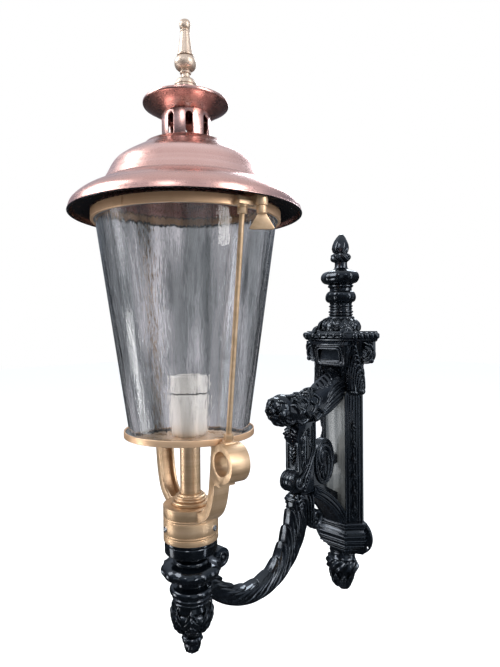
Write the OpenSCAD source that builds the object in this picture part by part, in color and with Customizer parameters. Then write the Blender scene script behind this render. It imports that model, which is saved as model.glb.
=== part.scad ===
// Round tapered street lantern in copper, brass and glass on a cast swan-neck wall bracket.
// Millimetres, +Z up. The wall is the plane y = 0 and the lamp stands out towards -Y.
// The origin lies on the wall, at the level where the head of the bracket meets its strut.

/* [Reach] */
// Distance from the wall to the axis of the lantern
reach = 450; // [430:5:480]
// Turn of the lantern on its spigot, in degrees
lantern_turn = -10; // [-45:1:45]

/* [Wall column] */
// Thickness of the wall plate
plate_t = 6; // [4:0.5:8]
// Half width of the pillar's front face
pillar_w = 29; // [26:1:34]
// How far the pillar stands out from the wall
pillar_d = 30; // [27:1:34]
// Width of the pillar's 45 degree chamfers, measured along x
pillar_c = 22; // [18:1:24]
// Height of the pillar's shaft between plinth and capital
pillar_h = 400; // [390:1:420]
// Radius of the screw ears beside the plinth
ear_r = 41; // [38:1:44]
// Radius of a screw hole in an ear
screw_hole_r = 3.3; // [2.6:0.1:4]
// Distance between the two screw holes
screw_pitch = 130; // [126:1:134]
// Radius of the tapped hole for the upper wall stud
stud_hole_r = 5.1; // [4:0.1:6]
// Depth of the tapped hole for the upper wall stud
stud_hole_l = 20; // [14:1:21]

/* [Bracket arm] */
// Half width of the strut, along x
strut_w = 17; // [14:1:20]
// Depth of the strut, from front to back
strut_d = 56; // [48:1:60]
// Distance from the wall to the middle of the strut
strut_y = 155; // [150:1:160]
// Height of the strut
strut_h = 134; // [128:1:140]
// Thickness of the leaf medallion
medallion_t = 14; // [10:1:18]
// Number of leaf husks along the swan neck
husk_n = 7; // [4:1:9]

/* [Lamp socket] */
// Radius of the spigot that carries the lantern
spigot_r = 38; // [34:0.5:39]
// Height of the spigot above the socket
spigot_h = 50; // [40:1:54]
// Radius of the socket's top
socket_r = 44; // [42:0.5:48]
// Radial clearance between spigot and lantern collar
spigot_gap = 0.3; // [0.1:0.05:0.6]

/* [Lantern frog] */
// Outer radius of the collar
collar_r = 45.8; // [44:0.2:50]
// Height of the collar
collar_h = 57; // [54:1:62]
// Height of the whole frog, from collar foot to lantern floor
frog_h = 173.5; // [165:0.5:185]
// Width of a frog arm
arm_w = 28; // [24:1:32]
// Wall thickness of a frog arm
arm_t = 4; // [3:0.5:5]
// Outer radius of the cock barrel
barrel_r = 29; // [26:0.5:30]
// Bore radius of the cock barrel
barrel_bore_r = 18.5; // [15:0.5:20]
// Length of the cock barrel
barrel_l = 33; // [28:1:38]
// Radius of the grub screws in the collar
grub_r = 5; // [4:0.5:6]
// Radius of the centre tube
tube_r = 17; // [14:0.5:20]

/* [Glass] */
// Outer radius of the glass at its foot
glass_low_r = 98; // [94:0.5:100]
// Outer radius of the glass at its top
glass_top_r = 148; // [144:0.5:152]
// Height of the glass
glass_h = 350; // [340:1:370]
// Thickness of the glass
glass_t = 4; // [3:0.5:5]
// Gap between the glass and the rings around it
glass_gap = 1.4; // [1:0.1:2]

/* [Rings and rods] */
// Outer radius of the lower ring
gallery_r = 107.3; // [106:0.1:109]
// Height of the lower ring
gallery_h = 10; // [8:0.5:14]
// Height of the upper ring
ring_h = 15; // [12:0.5:18]
// Wall thickness of the upper ring
ring_t = 5; // [4:0.5:7]
// Radius of a tie rod
rod_r = 4; // [3:0.25:5]
// Radial clearance of the rods in their lugs
rod_gap = 0.3; // [0.1:0.1:0.6]

/* [Lamp holder] */
// Outer radius of the porcelain lamp holder
holder_r = 32.5; // [30:0.5:36]
// Height of the lamp holder
holder_h = 98; // [90:1:110]
// Radius inside the threaded shell of the holder
shell_r = 19.5; // [18:0.5:21]

/* [Roof] */
// Radius of the brim
brim_r = 190; // [184:1:198]
// Radius of the waist between dome and brim
waist_r = 137.7; // [132:0.1:142]
// Height of the dome above its waist
dome_h = 66; // [60:1:80]
// Thickness of the spun copper
sheet_t = 2; // [1.5:0.1:2.5]
// Outer radius of the chimney
chimney_r = 40; // [36:0.5:44]
// Height of the chimney
chimney_h = 50; // [46:1:60]
// Number of slots in the chimney
slot_n = 8; // [6:1:10]
// Width of a chimney slot
slot_w = 11.7; // [8:0.1:14]
// Height of a chimney slot
slot_h = 37; // [30:1:40]
// Radius of the chimney cap
cap_r = 70.5; // [64:0.5:76]
// Radius of the hinge pin
hinge_pin_r = 2.5; // [2:0.1:3]
// Radial running clearance of the hinge pin
hinge_gap = 0.05; // [0.03:0.01:0.1]
// Radius of the thumb screw's shank
thumb_r = 4; // [3:0.25:5]
// Clearance between pieces that move past each other
run_gap = 0.3; // [0.2:0.05:0.5]

/* [Hidden] */
$fn = 96;

IRON = "#141a1a";
COPPER = "#c98f84";
BRASS = "#b98a4e";
STEEL = "#c8cacc";
PORCELAIN = "#f2f1ea";
RUBBER = "#3a3c3e";

// Half round and canted mouldings: t45 turns the growth of a canted outline into its corners' shift
t45 = tan(22.5);

// How deep a relief is set into the face that it is cast on
sink = 1.5;

// Edge of the wall plate that shows beside the pillar
plate_edge = 3;

// Levels of the wall column, upwards
shaft_z0 = -236;
shaft_z1 = shaft_z0 + pillar_h;
slab_h = 23;
slab_z1 = shaft_z1 + slab_h;
plinth_h = 75;
plinth_z0 = shaft_z0 - plinth_h;
ear_x = 36;
ear_z = shaft_z0 - 36;
screw_z = ear_z - 20;
stud_z = shaft_z1 - 16;
stud_boss_r = 14;
stud_boss_l = stud_hole_l + 2;

// Levels of the lamp socket and the frog
seat_z = -151;
collar_z1 = seat_z + collar_h;
floor_z = seat_z + frog_h;
socket_low_z = -252;

// Frog arms: radius and height of the middle of each arm, from the collar up to the lower ring
ear_z1 = floor_z + 8;
rod_foot_r = gallery_r + rod_r + 4.7;

// Glass and rings
gallery_t = 2.5;
glass_z0 = floor_z + gallery_t;
glass_z1 = glass_z0 + glass_h;
glass_slope = (glass_top_r - glass_low_r) / glass_h;
ring_z0 = glass_z1 - 4;
ring_z1 = ring_z0 + ring_h;
ring_in_r = glass_top_r + glass_gap + 0.4;
ring_out_r = ring_in_r + ring_t;
lug_t = 6;
rod_top_r = ring_out_r + rod_r + rod_gap;
rod_z0 = floor_z - 12;
rod_z1 = ring_z0 + lug_t;
rod_slope = (rod_top_r - rod_foot_r) / (ring_z0 - ear_z1);

// Roof
seat_flange_t = 2;
roof_z0 = ring_z1 + run_gap;
waist_z = ring_z1 + 40;
crown_z = waist_z + dome_h;
brim_z = ring_z1 - 5;
chimney_z0 = crown_z + 6;
chimney_z1 = chimney_z0 + chimney_h;
cap_z = chimney_z1 + 21;
finial_z = cap_z + 30;

// Hinge at the far side of the ring and latch at the near side
hinge_x = ring_out_r + 14;
hinge_z = ring_z1 - 2;
knuckle_r = 5.5;
knuckle_l = 14;
latch_turn = 7;
boss_r = 9;
latch_r = ring_out_r + 22;
latch_z0 = ring_z0 - 1;
latch_z1 = ring_z1 - 2;
tab_t = 3;
thumb_gap = 0.05;

// Smooth curve through a list of points
function blend(a, b, c, d, t) =
    0.5 * ((2 * b) + (c - a) * t + (2 * a - 5 * b + 4 * c - d) * t * t + (3 * b - a - 3 * c + d) * t * t * t);
function curve(p, m) = concat(
    [for (i = [0:len(p) - 2]) for (j = [0:m - 1])
        blend(p[max(i - 1, 0)], p[i], p[i + 1], p[min(i + 2, len(p) - 1)], j / m)],
    [p[len(p) - 1]]);
function heading(s, i) =
    let (d = s[min(i + 1, len(s) - 1)] - s[max(i - 1, 0)]) [d[0], d[1]] / norm([d[0], d[1]]);

// Faces of a tube of n rings with k points each, closed at both ends
function tube_faces(n, k) = concat(
    [[for (j = [0:k - 1]) j]],
    [for (i = [0:n - 2]) for (j = [0:k - 1])
        [i * k + (j + 1) % k, i * k + j, (i + 1) * k + j]],
    [for (i = [0:n - 2]) for (j = [0:k - 1])
        [i * k + (j + 1) % k, (i + 1) * k + j, (i + 1) * k + (j + 1) % k]],
    [[for (j = [k - 1:-1:0]) (n - 1) * k + j]]);

// Cosine and sine drawn out towards a box section, which cast limbs have
square_up = 0.62;
function boxy(v) = sign(v) * pow(abs(v), square_up);

// Body swept along a curve in the plane x = 0; each point of p is [y, z, half width, half height]
module sweep(p, k = 16, m = 4, box = false) {
    s = curve(p, m);
    points = [for (i = [0:len(s) - 1]) for (j = [0:k - 1])
        let (a = 360 * j / k, c = box ? boxy(cos(a)) : cos(a), h = box ? boxy(sin(a)) : sin(a),
            t = heading(s, i))
        [-s[i][2] * c, s[i][0] - t[1] * s[i][3] * h, s[i][1] + t[0] * s[i][3] * h]];
    polyhedron(points, tube_faces(len(s), k));
}

// Swept limb with leaf husks on its inner side, each husk swelling to a lip over the next one
module husk_sweep(p, husks, k = 24, swell = 0.3) {
    steps = 4;
    fine = curve(p, steps * 2);
    last = len(fine) - 1;
    rings = [for (h = [0:husks - 1]) for (j = [0:steps])
        let (u = (h + min(j / steps, 0.999)) / husks, i = floor(u * last), f = u * last - i)
        [fine[i] * (1 - f) + fine[min(i + 1, last)] * f, heading(fine, i), j / steps, 1 - u]];
    points = [for (r = rings) for (j = [0:k - 1])
        let (a = 360 * j / k, lip = max(0, -sin(a)) * swell * r[3] * r[2] * r[2],
            h = boxy(sin(a)) * (1 + lip),
             y = r[0][0] - r[1][1] * r[0][3] * h, z = r[0][1] + r[1][0] * r[0][3] * h)
        [-r[0][2] * boxy(cos(a)), y, z]];
    polyhedron(points, tube_faces(len(rings), k));
}

// Canted half octagon against the wall: front half width w, depth d, chamfer c, all times q and grown by g
function cant(w, d, c, g, q = 1) = let (s = g * t45) [
    [-((w + c) * q + g), -plate_t], [-((w + c) * q + g), -(d - c) * q - s], [-(w * q + s), -(d * q + g)],
    [w * q + s, -(d * q + g)], [(w + c) * q + g, -(d - c) * q - s], [(w + c) * q + g, -plate_t]];
// Stack of canted mouldings; each level is [growth, height, size]
module canted_stack(w, d, c, levels) {
    points = [for (v = levels) for (p = cant(w, d, c, v[0], v[2])) [p[0], p[1], v[1]]];
    polyhedron(points, tube_faces(len(levels), 6));
}
// Leaf or drop in relief on a flat face that looks towards -Y; each point is [height, half width, depth]
module relief(p, k = 9, m = 3) {
    s = curve(p, m);
    points = [for (v = s) for (j = [0:k - 1])
        let (a = 180 * j / (k - 1)) [-v[1] * cos(a), -v[2] * sin(a), v[0]]];
    polyhedron(points, tube_faces(len(s), k));
}

// Turned profiles: a bead swelling from r0 to r1, and a hollow running from r0 to r1
function bead(r0, r1, z0, z1, n = 8) =
    [for (i = [0:n]) [r0 + (r1 - r0) * sin(180 * i / n), z0 + (z1 - z0) * (1 - cos(180 * i / n)) / 2]];
function hollow(r0, r1, z0, z1, n = 5) =
    [for (i = [0:n]) [r0 + (r1 - r0) * (1 - cos(90 * i / n)), z0 + (z1 - z0) * sin(90 * i / n)]];
module turned(profile) {
    rotate_extrude() polygon(profile);
}
// Half of a turned piece, flat against the wall
module half_turned(profile) {
    rotate([0, 0, 180]) rotate_extrude(angle = 180) polygon(profile);
}
// Extrusion along x of an outline drawn in y and z, centred on x = 0
module across(width) {
    translate([-width / 2, 0, 0]) rotate([90, 0, 90]) linear_extrude(width) children();
}
// Cylinder along y that starts at y and runs towards -Y
module peg(x, y, z, r, l) {
    translate([x, y, z]) rotate([90, 0, 0]) cylinder(r = r, h = l);
}
module ring(r_out, r_in, z0, z1) {
    translate([0, 0, z0]) difference() {
        cylinder(r = r_out, h = z1 - z0);
        translate([0, 0, -1]) cylinder(r = r_in, h = z1 - z0 + 2);
    }
}
// Band between two offsets of a path in the plane of an arm
function strip(p, lo, hi) = concat(
    [for (i = [0:len(p) - 1]) let (t = heading(p, i)) p[i] + hi * [-t[1], t[0]]],
    [for (i = [len(p) - 1:-1:0]) let (t = heading(p, i)) p[i] + lo * [-t[1], t[0]]]);

module lantern() {
    translate([0, -reach, 0])
        rotate([0, 0, lantern_turn])
            children();
}
module both_arms() {
    children();
    rotate([0, 0, 180]) children();
}
module at_socket() {
    translate([0, -reach, 0]) children();
}

// The two chamfers of the pillar, as places for pieces that look towards -Y
module on_chamfers() {
    for (side = [-1, 1])
        translate([side * (pillar_w + pillar_c / 2), -(pillar_d - pillar_c / 2), 0])
            rotate([0, 0, side * 45]) children();
}

module wall_plate() {
    half_w = pillar_w + pillar_c + plate_edge;
    head_w = 80;
    head_h = 60;
    color(IRON) difference() {
        union() {
            rotate([90, 0, 0]) linear_extrude(plate_t) union() {
                translate([-half_w, plinth_z0]) square([2 * half_w, slab_z1 - plinth_z0]);
                translate([-head_w, slab_z1 - head_h]) square([2 * head_w, head_h]);
                for (side = [-1, 1]) translate([side * ear_x, ear_z]) circle(r = ear_r);
            }
            peg(0, 0, stud_z, stud_boss_r, stud_boss_l);
        }
        for (side = [-1, 1]) peg(side * screw_pitch / 2, 1, screw_z, screw_hole_r, plate_t + 2);
        peg(0, 1, stud_z, stud_hole_r, stud_hole_l + 1);
    }
}
module pillar_solid() {
    translate([0, 0, shaft_z0]) linear_extrude(pillar_h) polygon(cant(pillar_w, pillar_d, pillar_c, 0));
}
module pillar() {
    color(IRON) difference() {
        pillar_solid();
        peg(0, 1 - plate_t, stud_z, stud_boss_r + run_gap, stud_boss_l - plate_t + run_gap + 1);
    }
}
// Three bell-shaped leaves, each hanging from the tip of the one above
module leaf_drops() {
    leaf_l = 62;
    leaf_w = 11;
    leaf_d = 6;
    top = shaft_z0 + 202;
    color(IRON) on_chamfers() for (i = [0:2])
        translate([0, 0, top - (i + 1) * leaf_l])
            relief([[1, 2, 1.5], [leaf_l * 0.2, leaf_w * 0.6, leaf_d * 0.6],
                [leaf_l * 0.55, leaf_w, leaf_d],
                    [leaf_l * 0.85, leaf_w * 0.5, leaf_d * 0.7], [leaf_l - 1, 2.5, 2]]);
}
plinth_w = 35;
plinth_d = 45;
plinth_c = 30;
module plinth() {
    z = shaft_z0;
    color(IRON) canted_stack(plinth_w, plinth_d, plinth_c, [
        [0, z - plinth_h, 0.56], [0, z - 67, 0.6], [0, z - 65, 0.68], [0, z - 51, 0.93], [0, z - 45, 0.94],
        [0, z - 39, 1], [0, z - 21, 1], [-4, z - 17, 1], [-4, z - 12, 1], [-1, z - 9, 1], [-1, z - 2, 1],
            [-3, z, 1]]);
}
capital_w = 50;
capital_d = 60;
capital_c = 50;
module capital() {
    z = shaft_z1;
    color(IRON) canted_stack(capital_w, capital_d, capital_c, [
        [-8, z, 1], [-5, z + 3, 1], [-5, z + 5, 1], [0, z + 9, 1], [0, z + 17, 1], [-4, z + 19, 1],
        [-6, z + slab_h, 1]]);
}
// Bracket block in the middle of the capital: a tapered head over a foot that curves back to the pillar
console_w = 46;
console_d = 58;
console_c = 4;
console_h = 94;
console_head_h = 54;
module console_solid() {
    z = shaft_z1;
    foot = console_h - console_head_h - 3;
    difference() {
        canted_stack(console_w, console_d, console_c, [
            [0, z - console_h, 0.5], [0, z - console_h + foot * 0.2, 0.55],
                [0, z - console_h + foot * 0.6, 0.64],
            [0, z - console_h + foot, 0.75], [0, z - console_head_h - 1, 0.81],
                [0, z - console_head_h + 3, 0.83],
            [0, z - 10, 0.96], [0, z - 7, 1], [0, z, 1]]);
        translate([-2 * console_w, -pillar_d, z - 2 * console_h])
            cube([4 * console_w, 2 * console_d, 3 * console_h]);
    }
}
module console() {
    panel_w = 58;
    panel_h = 30;
    panel_r = 8;
    recess = 4;
    lean = atan((0.96 - 0.83) * console_d / (console_head_h - 13));
    color(IRON) difference() {
        console_solid();
        translate([0, -0.9 * console_d, shaft_z1 - console_head_h / 2 - 3]) rotate([90 - lean, 0, 0])
            translate([0, 0, -recess]) linear_extrude(4 * recess) offset(panel_r) offset(-panel_r)
                square([panel_w, panel_h], center = true);
    }
}
// Side scrolls under the slab, each with a fluted leaf that hangs down the chamfer
scroll_r = 20;
scroll_x = pillar_w + pillar_c + scroll_r - 1;
leaf_h = 118;
leaf_w = 21;
module corbel_leaf() {
    flutes = 9;
    k = 4 * flutes + 1;
    shape = curve([[0, 0.3, 0.5], [0.04, 0.8, 0.85], [0.12, 1, 1], [0.3, 1, 0.86], [0.6, 0.86, 0.84],
        [0.85, 0.9, 1.1],
        [1, 0.95, 1.3]], 2);
    points = [for (v = shape) for (j = [0:k - 1])
        let (a = 180 * j / (k - 1), q = 1 + 0.05 * cos(360 * flutes * j / (k - 1)))
        [-leaf_w * v[1] * q * cos(a), -leaf_w * v[2] * q * sin(a), leaf_h * (v[0] - 1)]];
    polyhedron(points, tube_faces(len(shape), k));
}
module scroll_corbels() {
    z = shaft_z1;
    roll_z = z - scroll_r - 7;
    depth = 10;
    inner = pillar_w + pillar_c / 2;
    color(IRON) difference() {
        for (side = [-1, 1]) {
            translate([0, -plate_t, 0]) rotate([90, 0, 0]) linear_extrude(depth) union() {
                translate([side * scroll_x, roll_z]) circle(r = scroll_r);
                polygon([for (p = [[inner, z], [scroll_x + scroll_r, z], [scroll_x + scroll_r, roll_z],
                    [scroll_x, roll_z - scroll_r], [scroll_x - scroll_r, roll_z - scroll_r - 4],
                    [inner, roll_z - 2 * scroll_r]]) [side * p[0], p[1]]]);
            }
            translate([side * scroll_x, -plate_t, roll_z]) rotate([90, 0, 0])
                cylinder(r = 7, h = depth + 5);
            translate([side * (pillar_w + pillar_c / 2), -(pillar_d - pillar_c / 2), z])
                rotate([0, 0, side * 45])
                translate([side * 5, sink, 0]) corbel_leaf();
        }
        pillar_solid();
        console_solid();
        neck_solid();
        translate([-200, -plate_t, z - 200]) cube([400, 60, 220]);
    }
}
module top_finial() {
    z = slab_z1;
    color(IRON) half_turned(concat(
        [[0, z], [46, z], [49, z + 4], [49.5, z + 11], [46, z + 19], [38, z + 26]],
            hollow(34, 27.5, z + 28, z + 34),
        [[27.5, z + 40], [29, z + 42], [29, z + 46], [27.5, z + 48], [27.2, z + 62]],
            bead(30, 37.2, z + 66, z + 90),
        [[27.2, z + 92], [27.2, z + 97], [31, z + 100], [31, z + 105]], bead(34, 44.8, z + 107, z + 135),
        hollow(24, 15.2, z + 138, z + 145), [[15.2, z + 155]], bead(17, 24, z + 157, z + 176),
        [[16, z + 177], [19, z + 182], [20, z + 189], [18.5, z + 198], [14.5, z + 207], [9, z + 215],
            [4, z + 220],
            [0, z + 222]]));
}
module bottom_finial() {
    z = plinth_z0;
    color(IRON) difference() {
        half_turned(concat(
            [[0, z - 91], [6, z - 90], [12, z - 86.5], [16, z - 82.5], [22.5, z - 74], [27, z - 61],
                [30, z - 52],
                [32.5, z - 47]],
            bead(33, 42, z - 46, z - 16), [[31, z - 13], [30.5, z - 4], [32, z - 2], [32, z], [0, z]]));
        for (side = [-1, 1]) peg(side * ear_x, 1, ear_z, ear_r, plate_t + 1);
    }
}
neck_pts = [
    [-253, 37, 6, 5], [-250, 37, 9, 9], [-238, 36, 12, 14], [-230, 37, 19, 23], [-212, 37, 25, 27],
        [-190, 30, 24, 31],
    [-156, 25, 22, 31], [-120, 30, 22, 34], [-90, 39, 24, 35], [-60, 52, 26, 34], [-26, 70, 28, 34]];
module neck_solid() {
    sweep(neck_pts, k = 24, m = 3);
}
// Neck and head of a beast that carries the arm, with ears, brows and jaw
module beast_neck() {
    color(IRON) difference() {
        union() {
            neck_solid();
            translate([0, -229, 16]) rotate([-24, 0, 0]) scale([1, 1.5, 0.8]) sphere(r = 12, $fn = 24);
            for (side = [-1, 1]) {
                translate([side * 12, -229, 51]) sphere(r = 8, $fn = 24);
                translate([side * 21, -196, 46]) rotate([-62, side * 14, 0]) scale([0.5, 1, 1])
                    cylinder(r1 = 5, r2 = 12, h = 20, center = true, $fn = 24);
            }
        }
        translate([-50, -300, -60]) cube([100, 300, 60]);
        translate([-50, -pillar_d, -20]) cube([100, 40, 300]);
        console_solid();
    }
}
// Strut: a scrolled bracket whose back sweeps in to the scroll, on a core that goes down to the arm
strut_roll_r = 20;
strut_neck_l = 14;
arm_z0 = -strut_h - strut_neck_l;
module strut() {
    front = -strut_y - strut_d / 2;
    back = -strut_y + strut_d / 2;
    roll_z = -strut_h + strut_roll_r - 3;
    core_in = 4;
    panel = 2;
    border = 5;
    color(IRON) difference() {
        union() {
            across(2 * strut_w) union() {
                polygon([[front + 3, 0], [front + 3, -10], [front - 1, -16], [front - 4, -24],
                    [front - 4, -30],
                    [front, -36], [front, roll_z], [front + 12, -strut_h],
                        [back - strut_d * 0.9, -strut_h + 3],
                    [back - strut_d * 0.6, -strut_h * 0.85], [back - strut_d * 0.18, -strut_h * 0.57],
                    [back, -strut_h * 0.44], [back, 0]]);
                translate([front, roll_z]) circle(r = strut_roll_r);
            }
            across(2 * (strut_w - core_in)) polygon([[front + 12, -strut_h / 2], [front + 12, arm_z0],
                [back, arm_z0],
                [back, -strut_h / 2]]);
            across(2 * strut_w + 6) translate([front, roll_z]) circle(r = strut_roll_r * 0.4);
            for (side = [-1, 1]) translate([side * (strut_w - sink), -strut_y - 4, -strut_h * 0.4])
                rotate([0, 0, side * 90]) relief([[-44, 3, 1], [-26, 9, 4.5], [0, 12, 6], [22, 8, 4.5],
                    [32, 3, 1]]);
        }
        translate([-strut_w + border, front - 1, roll_z + strut_roll_r + 4])
            cube([2 * (strut_w - border), 1 + panel,
            -roll_z - strut_roll_r - 46]);
    }
}
// Oval leaf plate between strut and pillar, with a raised rim and a leaf
medal_y = -80;
medal_z = -95;
medal_ry = 34;
medal_rz = 50;
module medal_oval(grow) {
    translate([medal_y, medal_z]) scale([medal_ry + grow, medal_rz + grow]) circle(r = 1, $fn = 48);
}
module leaf_medallion() {
    back = -strut_y + strut_d / 2;
    rim = 5;
    web_t = medallion_t - 4;
    color(IRON) difference() {
        union() {
            across(web_t) medal_oval(0);
            across(medallion_t) difference() {
                medal_oval(0);
                medal_oval(-rim);
            }
            across(web_t) polygon([[back, -84], [medal_y, -84], [medal_y, web_top[1]], web_top,
                [back, web_top[1] + 8]]);
            across(web_t) polygon([[medal_y, -78], [-pillar_d, -90], [-pillar_d, -108], [medal_y, -116]]);
            for (side = [-1, 1]) translate([side * (web_t / 2 - sink), medal_y, medal_z])
                rotate([0, 0, side * 90])
                relief([[-42, 3, 2], [-18, 12, 5], [10, 15, 6], [38, 4, 2]]);
        }
        translate([-50, back, -300]) mirror([0, 1, 0]) cube([100, 40, 400]);
        brace_solid();
    }
}
// Arched brace from the foot of the strut to the foot of the pillar, with a web above it
brace_pts = [
    [-128, -148, 16, 10], [-107, -159, 19, 12], [-79, -179, 22, 13], [-52, -206, 26, 13],
        [-35, -232, 28, 13],
    [-30, -246, 28, 13]];
web_top = [-84, -146];
module brace_solid() {
    difference() {
        union() {
            sweep(brace_pts, k = 24, m = 3, box = true);
            across(medallion_t - 4) polygon([[-140, -140], web_top, [-59, -160], [-pillar_d, -175],
                [-pillar_d, -232],
                [-52, -206], [-79, -179], [-107, -159], [-140, -150]]);
        }
        translate([-60, -pillar_d, -300]) cube([120, 60, 200]);
        translate([-60, -60, shaft_z0 - 60]) cube([120, 60, 60]);
    }
}
module arch_brace() {
    back = -strut_y + strut_d / 2;
    color(IRON) difference() {
        brace_solid();
        translate([-60, back - 100, arm_z0]) cube([120, 100, 100]);
        swan_solid();
    }
}
module brace_volute() {
    color(IRON) difference() {
        union() {
            across(22) translate([-109, -212]) circle(r = 20);
            across(16) polygon([[-170, -196], [-116, -194], [-118, -231], [-170, -236]]);
        }
        brace_solid();
        swan_solid();
    }
}
// Swan neck: from the strut's foot down, out and up to the lamp socket
function swan_y(u) = -strut_y + u * (strut_y - reach);
swan_pts = [
    [swan_y(0.01), arm_z0, 18, 28], [swan_y(0.02), arm_z0 - 14, 18, 29], [swan_y(0.045), -190, 18, 28.5],
    [swan_y(0.09), -222, 18, 28.5], [swan_y(0.15), -251, 18, 26], [swan_y(0.23), -275, 17.5, 22],
    [swan_y(0.33), -292, 17, 19.5], [swan_y(0.48), -299, 17, 18], [swan_y(0.62), -293, 16, 17],
    [swan_y(0.72), -280, 15, 17], [swan_y(0.80), -263, 14, 18], [swan_y(0.87), -246, 14, 20],
        [swan_y(0.95), -236, 13, 16]];
module swan_solid() {
    husk_sweep(swan_pts, husk_n, k = 24);
}
module swan_arm() {
    color(IRON) difference() {
        swan_solid();
        at_socket() turned(socket_profile);
        at_socket() turned(pendant_profile);
        translate([-50, -300, arm_z0]) cube([100, 250, 60]);
    }
}
module socket_volute() {
    color(IRON) difference() {
        translate([-9, -reach + 62, -204]) rotate([0, 90, 0]) cylinder(r = 17, h = 18);
        swan_solid();
        at_socket() turned(socket_profile);
    }
}
socket_profile = concat(
    [[0, socket_low_z], [31.5, socket_low_z], [33, -247]], bead(30, 37, -244, -230),
    [[25, -227], [25, -219]], bead(30, 51, -216, -190), hollow(30, 22, -189, -184),
    [[22, -180], [30, -176], [socket_r, -173], [socket_r, seat_z], [0, seat_z]]);
cable_r = 10;
module lamp_socket() {
    color(IRON) at_socket() difference() {
        turned(socket_profile);
        translate([0, 0, socket_low_z - 1]) cylinder(r = cable_r, h = seat_z - socket_low_z + 2);
    }
}
module spigot() {
    color(STEEL) at_socket() ring(spigot_r, cable_r, seat_z, seat_z + spigot_h);
}
pendant_profile = let (z = socket_low_z) concat(
    [[0, z - 95], [5, z - 94], [13, z - 84], [11, z - 78]], bead(12, 18.3, z - 75, z - 63),
    [[15, z - 60], [19.7, z - 57], [20, z - 52], [23, z - 47]], bead(28, 33, z - 44, z - 20),
    [[31, z - 14], [29, z - 8], [31.5, z - 3], [31.5, z], [0, z]]);
module pendant() {
    color(IRON) at_socket() turned(pendant_profile);
}

// Frog: middle line of an arm in radius and height
arm_half = 7.25;
arm_line = curve([
    [collar_r - 6, collar_z1 - 10], [collar_r + 10, collar_z1 - 6], [collar_r + 30, collar_z1 + 10],
    [collar_r + 41, collar_z1 + 38], [collar_r + 47, collar_z1 + 76], [gallery_r - 10, floor_z - 5]], 5);
barrel_x = rod_foot_r + 4;
barrel_z = floor_z - 24.5;
pad_h = 6;
rod_tilt = atan(rod_slope);
module on_rod() {
    translate([rod_foot_r, 0, ear_z1]) rotate([0, rod_tilt, 0]) children();
}
rod_foot_l = 11;
rod_top_l = (ring_z0 - ear_z1) / cos(rod_tilt);
ear_screw_r = 3;
ear_head_r = 5.5;
ear_screw_x = gallery_r - 15.5;
module frog_arm() {
    ear_w = 11;
    difference() {
        union() {
            rotate([90, 0, 0]) translate([0, 0, -arm_w / 2]) linear_extrude(arm_w)
                polygon(strip(arm_line, -arm_half, arm_half));
            translate([gallery_r - 19, -arm_w / 2, floor_z - pad_h]) cube([18, arm_w, pad_h]);
            translate([gallery_r - 6, -ear_w, floor_z - pad_h])
                cube([rod_foot_r - gallery_r + 15, 2 * ear_w, pad_h + 6]);
            on_rod() translate([0, 0, -9]) cylinder(r = 9, h = 9);
        }
        rotate([90, 0, 0]) translate([0, 0, -arm_w / 2 + arm_t]) linear_extrude(arm_w - 2 * arm_t)
            polygon(strip(concat([for (p = arm_line) if (p[1] < floor_z - pad_h - 4 && p[0] > collar_r + 4) p],
                [[gallery_r - 10, floor_z - pad_h]]), arm_t - arm_half, arm_half + 6));
    }
}
module frog() {
    web = 6;
    groove = 1.2;
    color(BRASS) lantern() difference() {
        union() {
            translate([0, 0, seat_z]) cylinder(r = collar_r, h = collar_h);
            both_arms() frog_arm();
            translate([barrel_x, barrel_l / 2, barrel_z]) rotate([90, 0, 0])
                cylinder(r = barrel_r, h = barrel_l);
            translate([barrel_x - 32, -arm_w / 2, barrel_z - barrel_r - 8]) cube([24, arm_w, 20]);
        }
        translate([0, 0, seat_z - 1]) cylinder(r = spigot_r + spigot_gap, h = collar_h - web + 1);
        translate([0, 0, seat_z]) cylinder(r = tube_r - 3, h = collar_h + 1);
        translate([0, 0, floor_z]) cylinder(r = gallery_r + run_gap, h = 20);
        translate([barrel_x, barrel_l / 2 + 1, barrel_z]) rotate([90, 0, 0])
            cylinder(r = barrel_bore_r, h = barrel_l + 2);
        both_arms() {
            on_rod() translate([0, 0, -rod_foot_l]) cylinder(r = rod_r + rod_gap, h = 30);
            translate([ear_screw_x, 0, floor_z - pad_h - 1]) cylinder(r = ear_screw_r + 0.3, h = pad_h + 2);
            translate([ear_screw_x, 0, floor_z - pad_h - 20]) cylinder(r = ear_head_r + run_gap, h = 20);
        }
        grub_places() cylinder(r = grub_r + 0.05, h = 30);
        for (z = [seat_z + 9, seat_z + 36]) for (dz = [0, 4])
            translate([0, 0, z + dz]) rotate_extrude() translate([collar_r, 0])
                circle(r = groove, $fn = 16);
    }
}
module grub_places() {
    for (i = [0:2]) rotate([0, 0, 26.7 + 120 * i]) translate([spigot_r + 0.05, 0, seat_z + 22])
        rotate([0, 90, 0]) children();
}
module grub_screws() {
    hex_r = 3;
    hex_l = 4;
    l = collar_r - spigot_r + 1.5;
    color(STEEL) lantern() grub_places() difference() {
        cylinder(r = grub_r, h = l);
        translate([0, 0, l - hex_l]) cylinder(r = hex_r, h = hex_l + 1, $fn = 6);
    }
}
module centre_tube() {
    color(BRASS) lantern() ring(tube_r, tube_r - 3, collar_z1, glass_z0);
}
module tube_foot() {
    color(BRASS) lantern() difference() {
        turned(concat([[tube_r, collar_z1], [31, collar_z1], [31, collar_z1 + 6], [25, collar_z1 + 8]],
            [[25, collar_z1 + 15], [22, collar_z1 + 18], [tube_r, collar_z1 + 18]]));
    }
}
module tube_lock_nut() {
    color(BRASS) lantern() difference() {
        translate([0, 0, glass_z0 - 8]) cylinder(r = tube_r + 5, h = 8, $fn = 6);
        translate([0, 0, glass_z0 - 9]) cylinder(r = tube_r, h = 10);
    }
}
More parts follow.
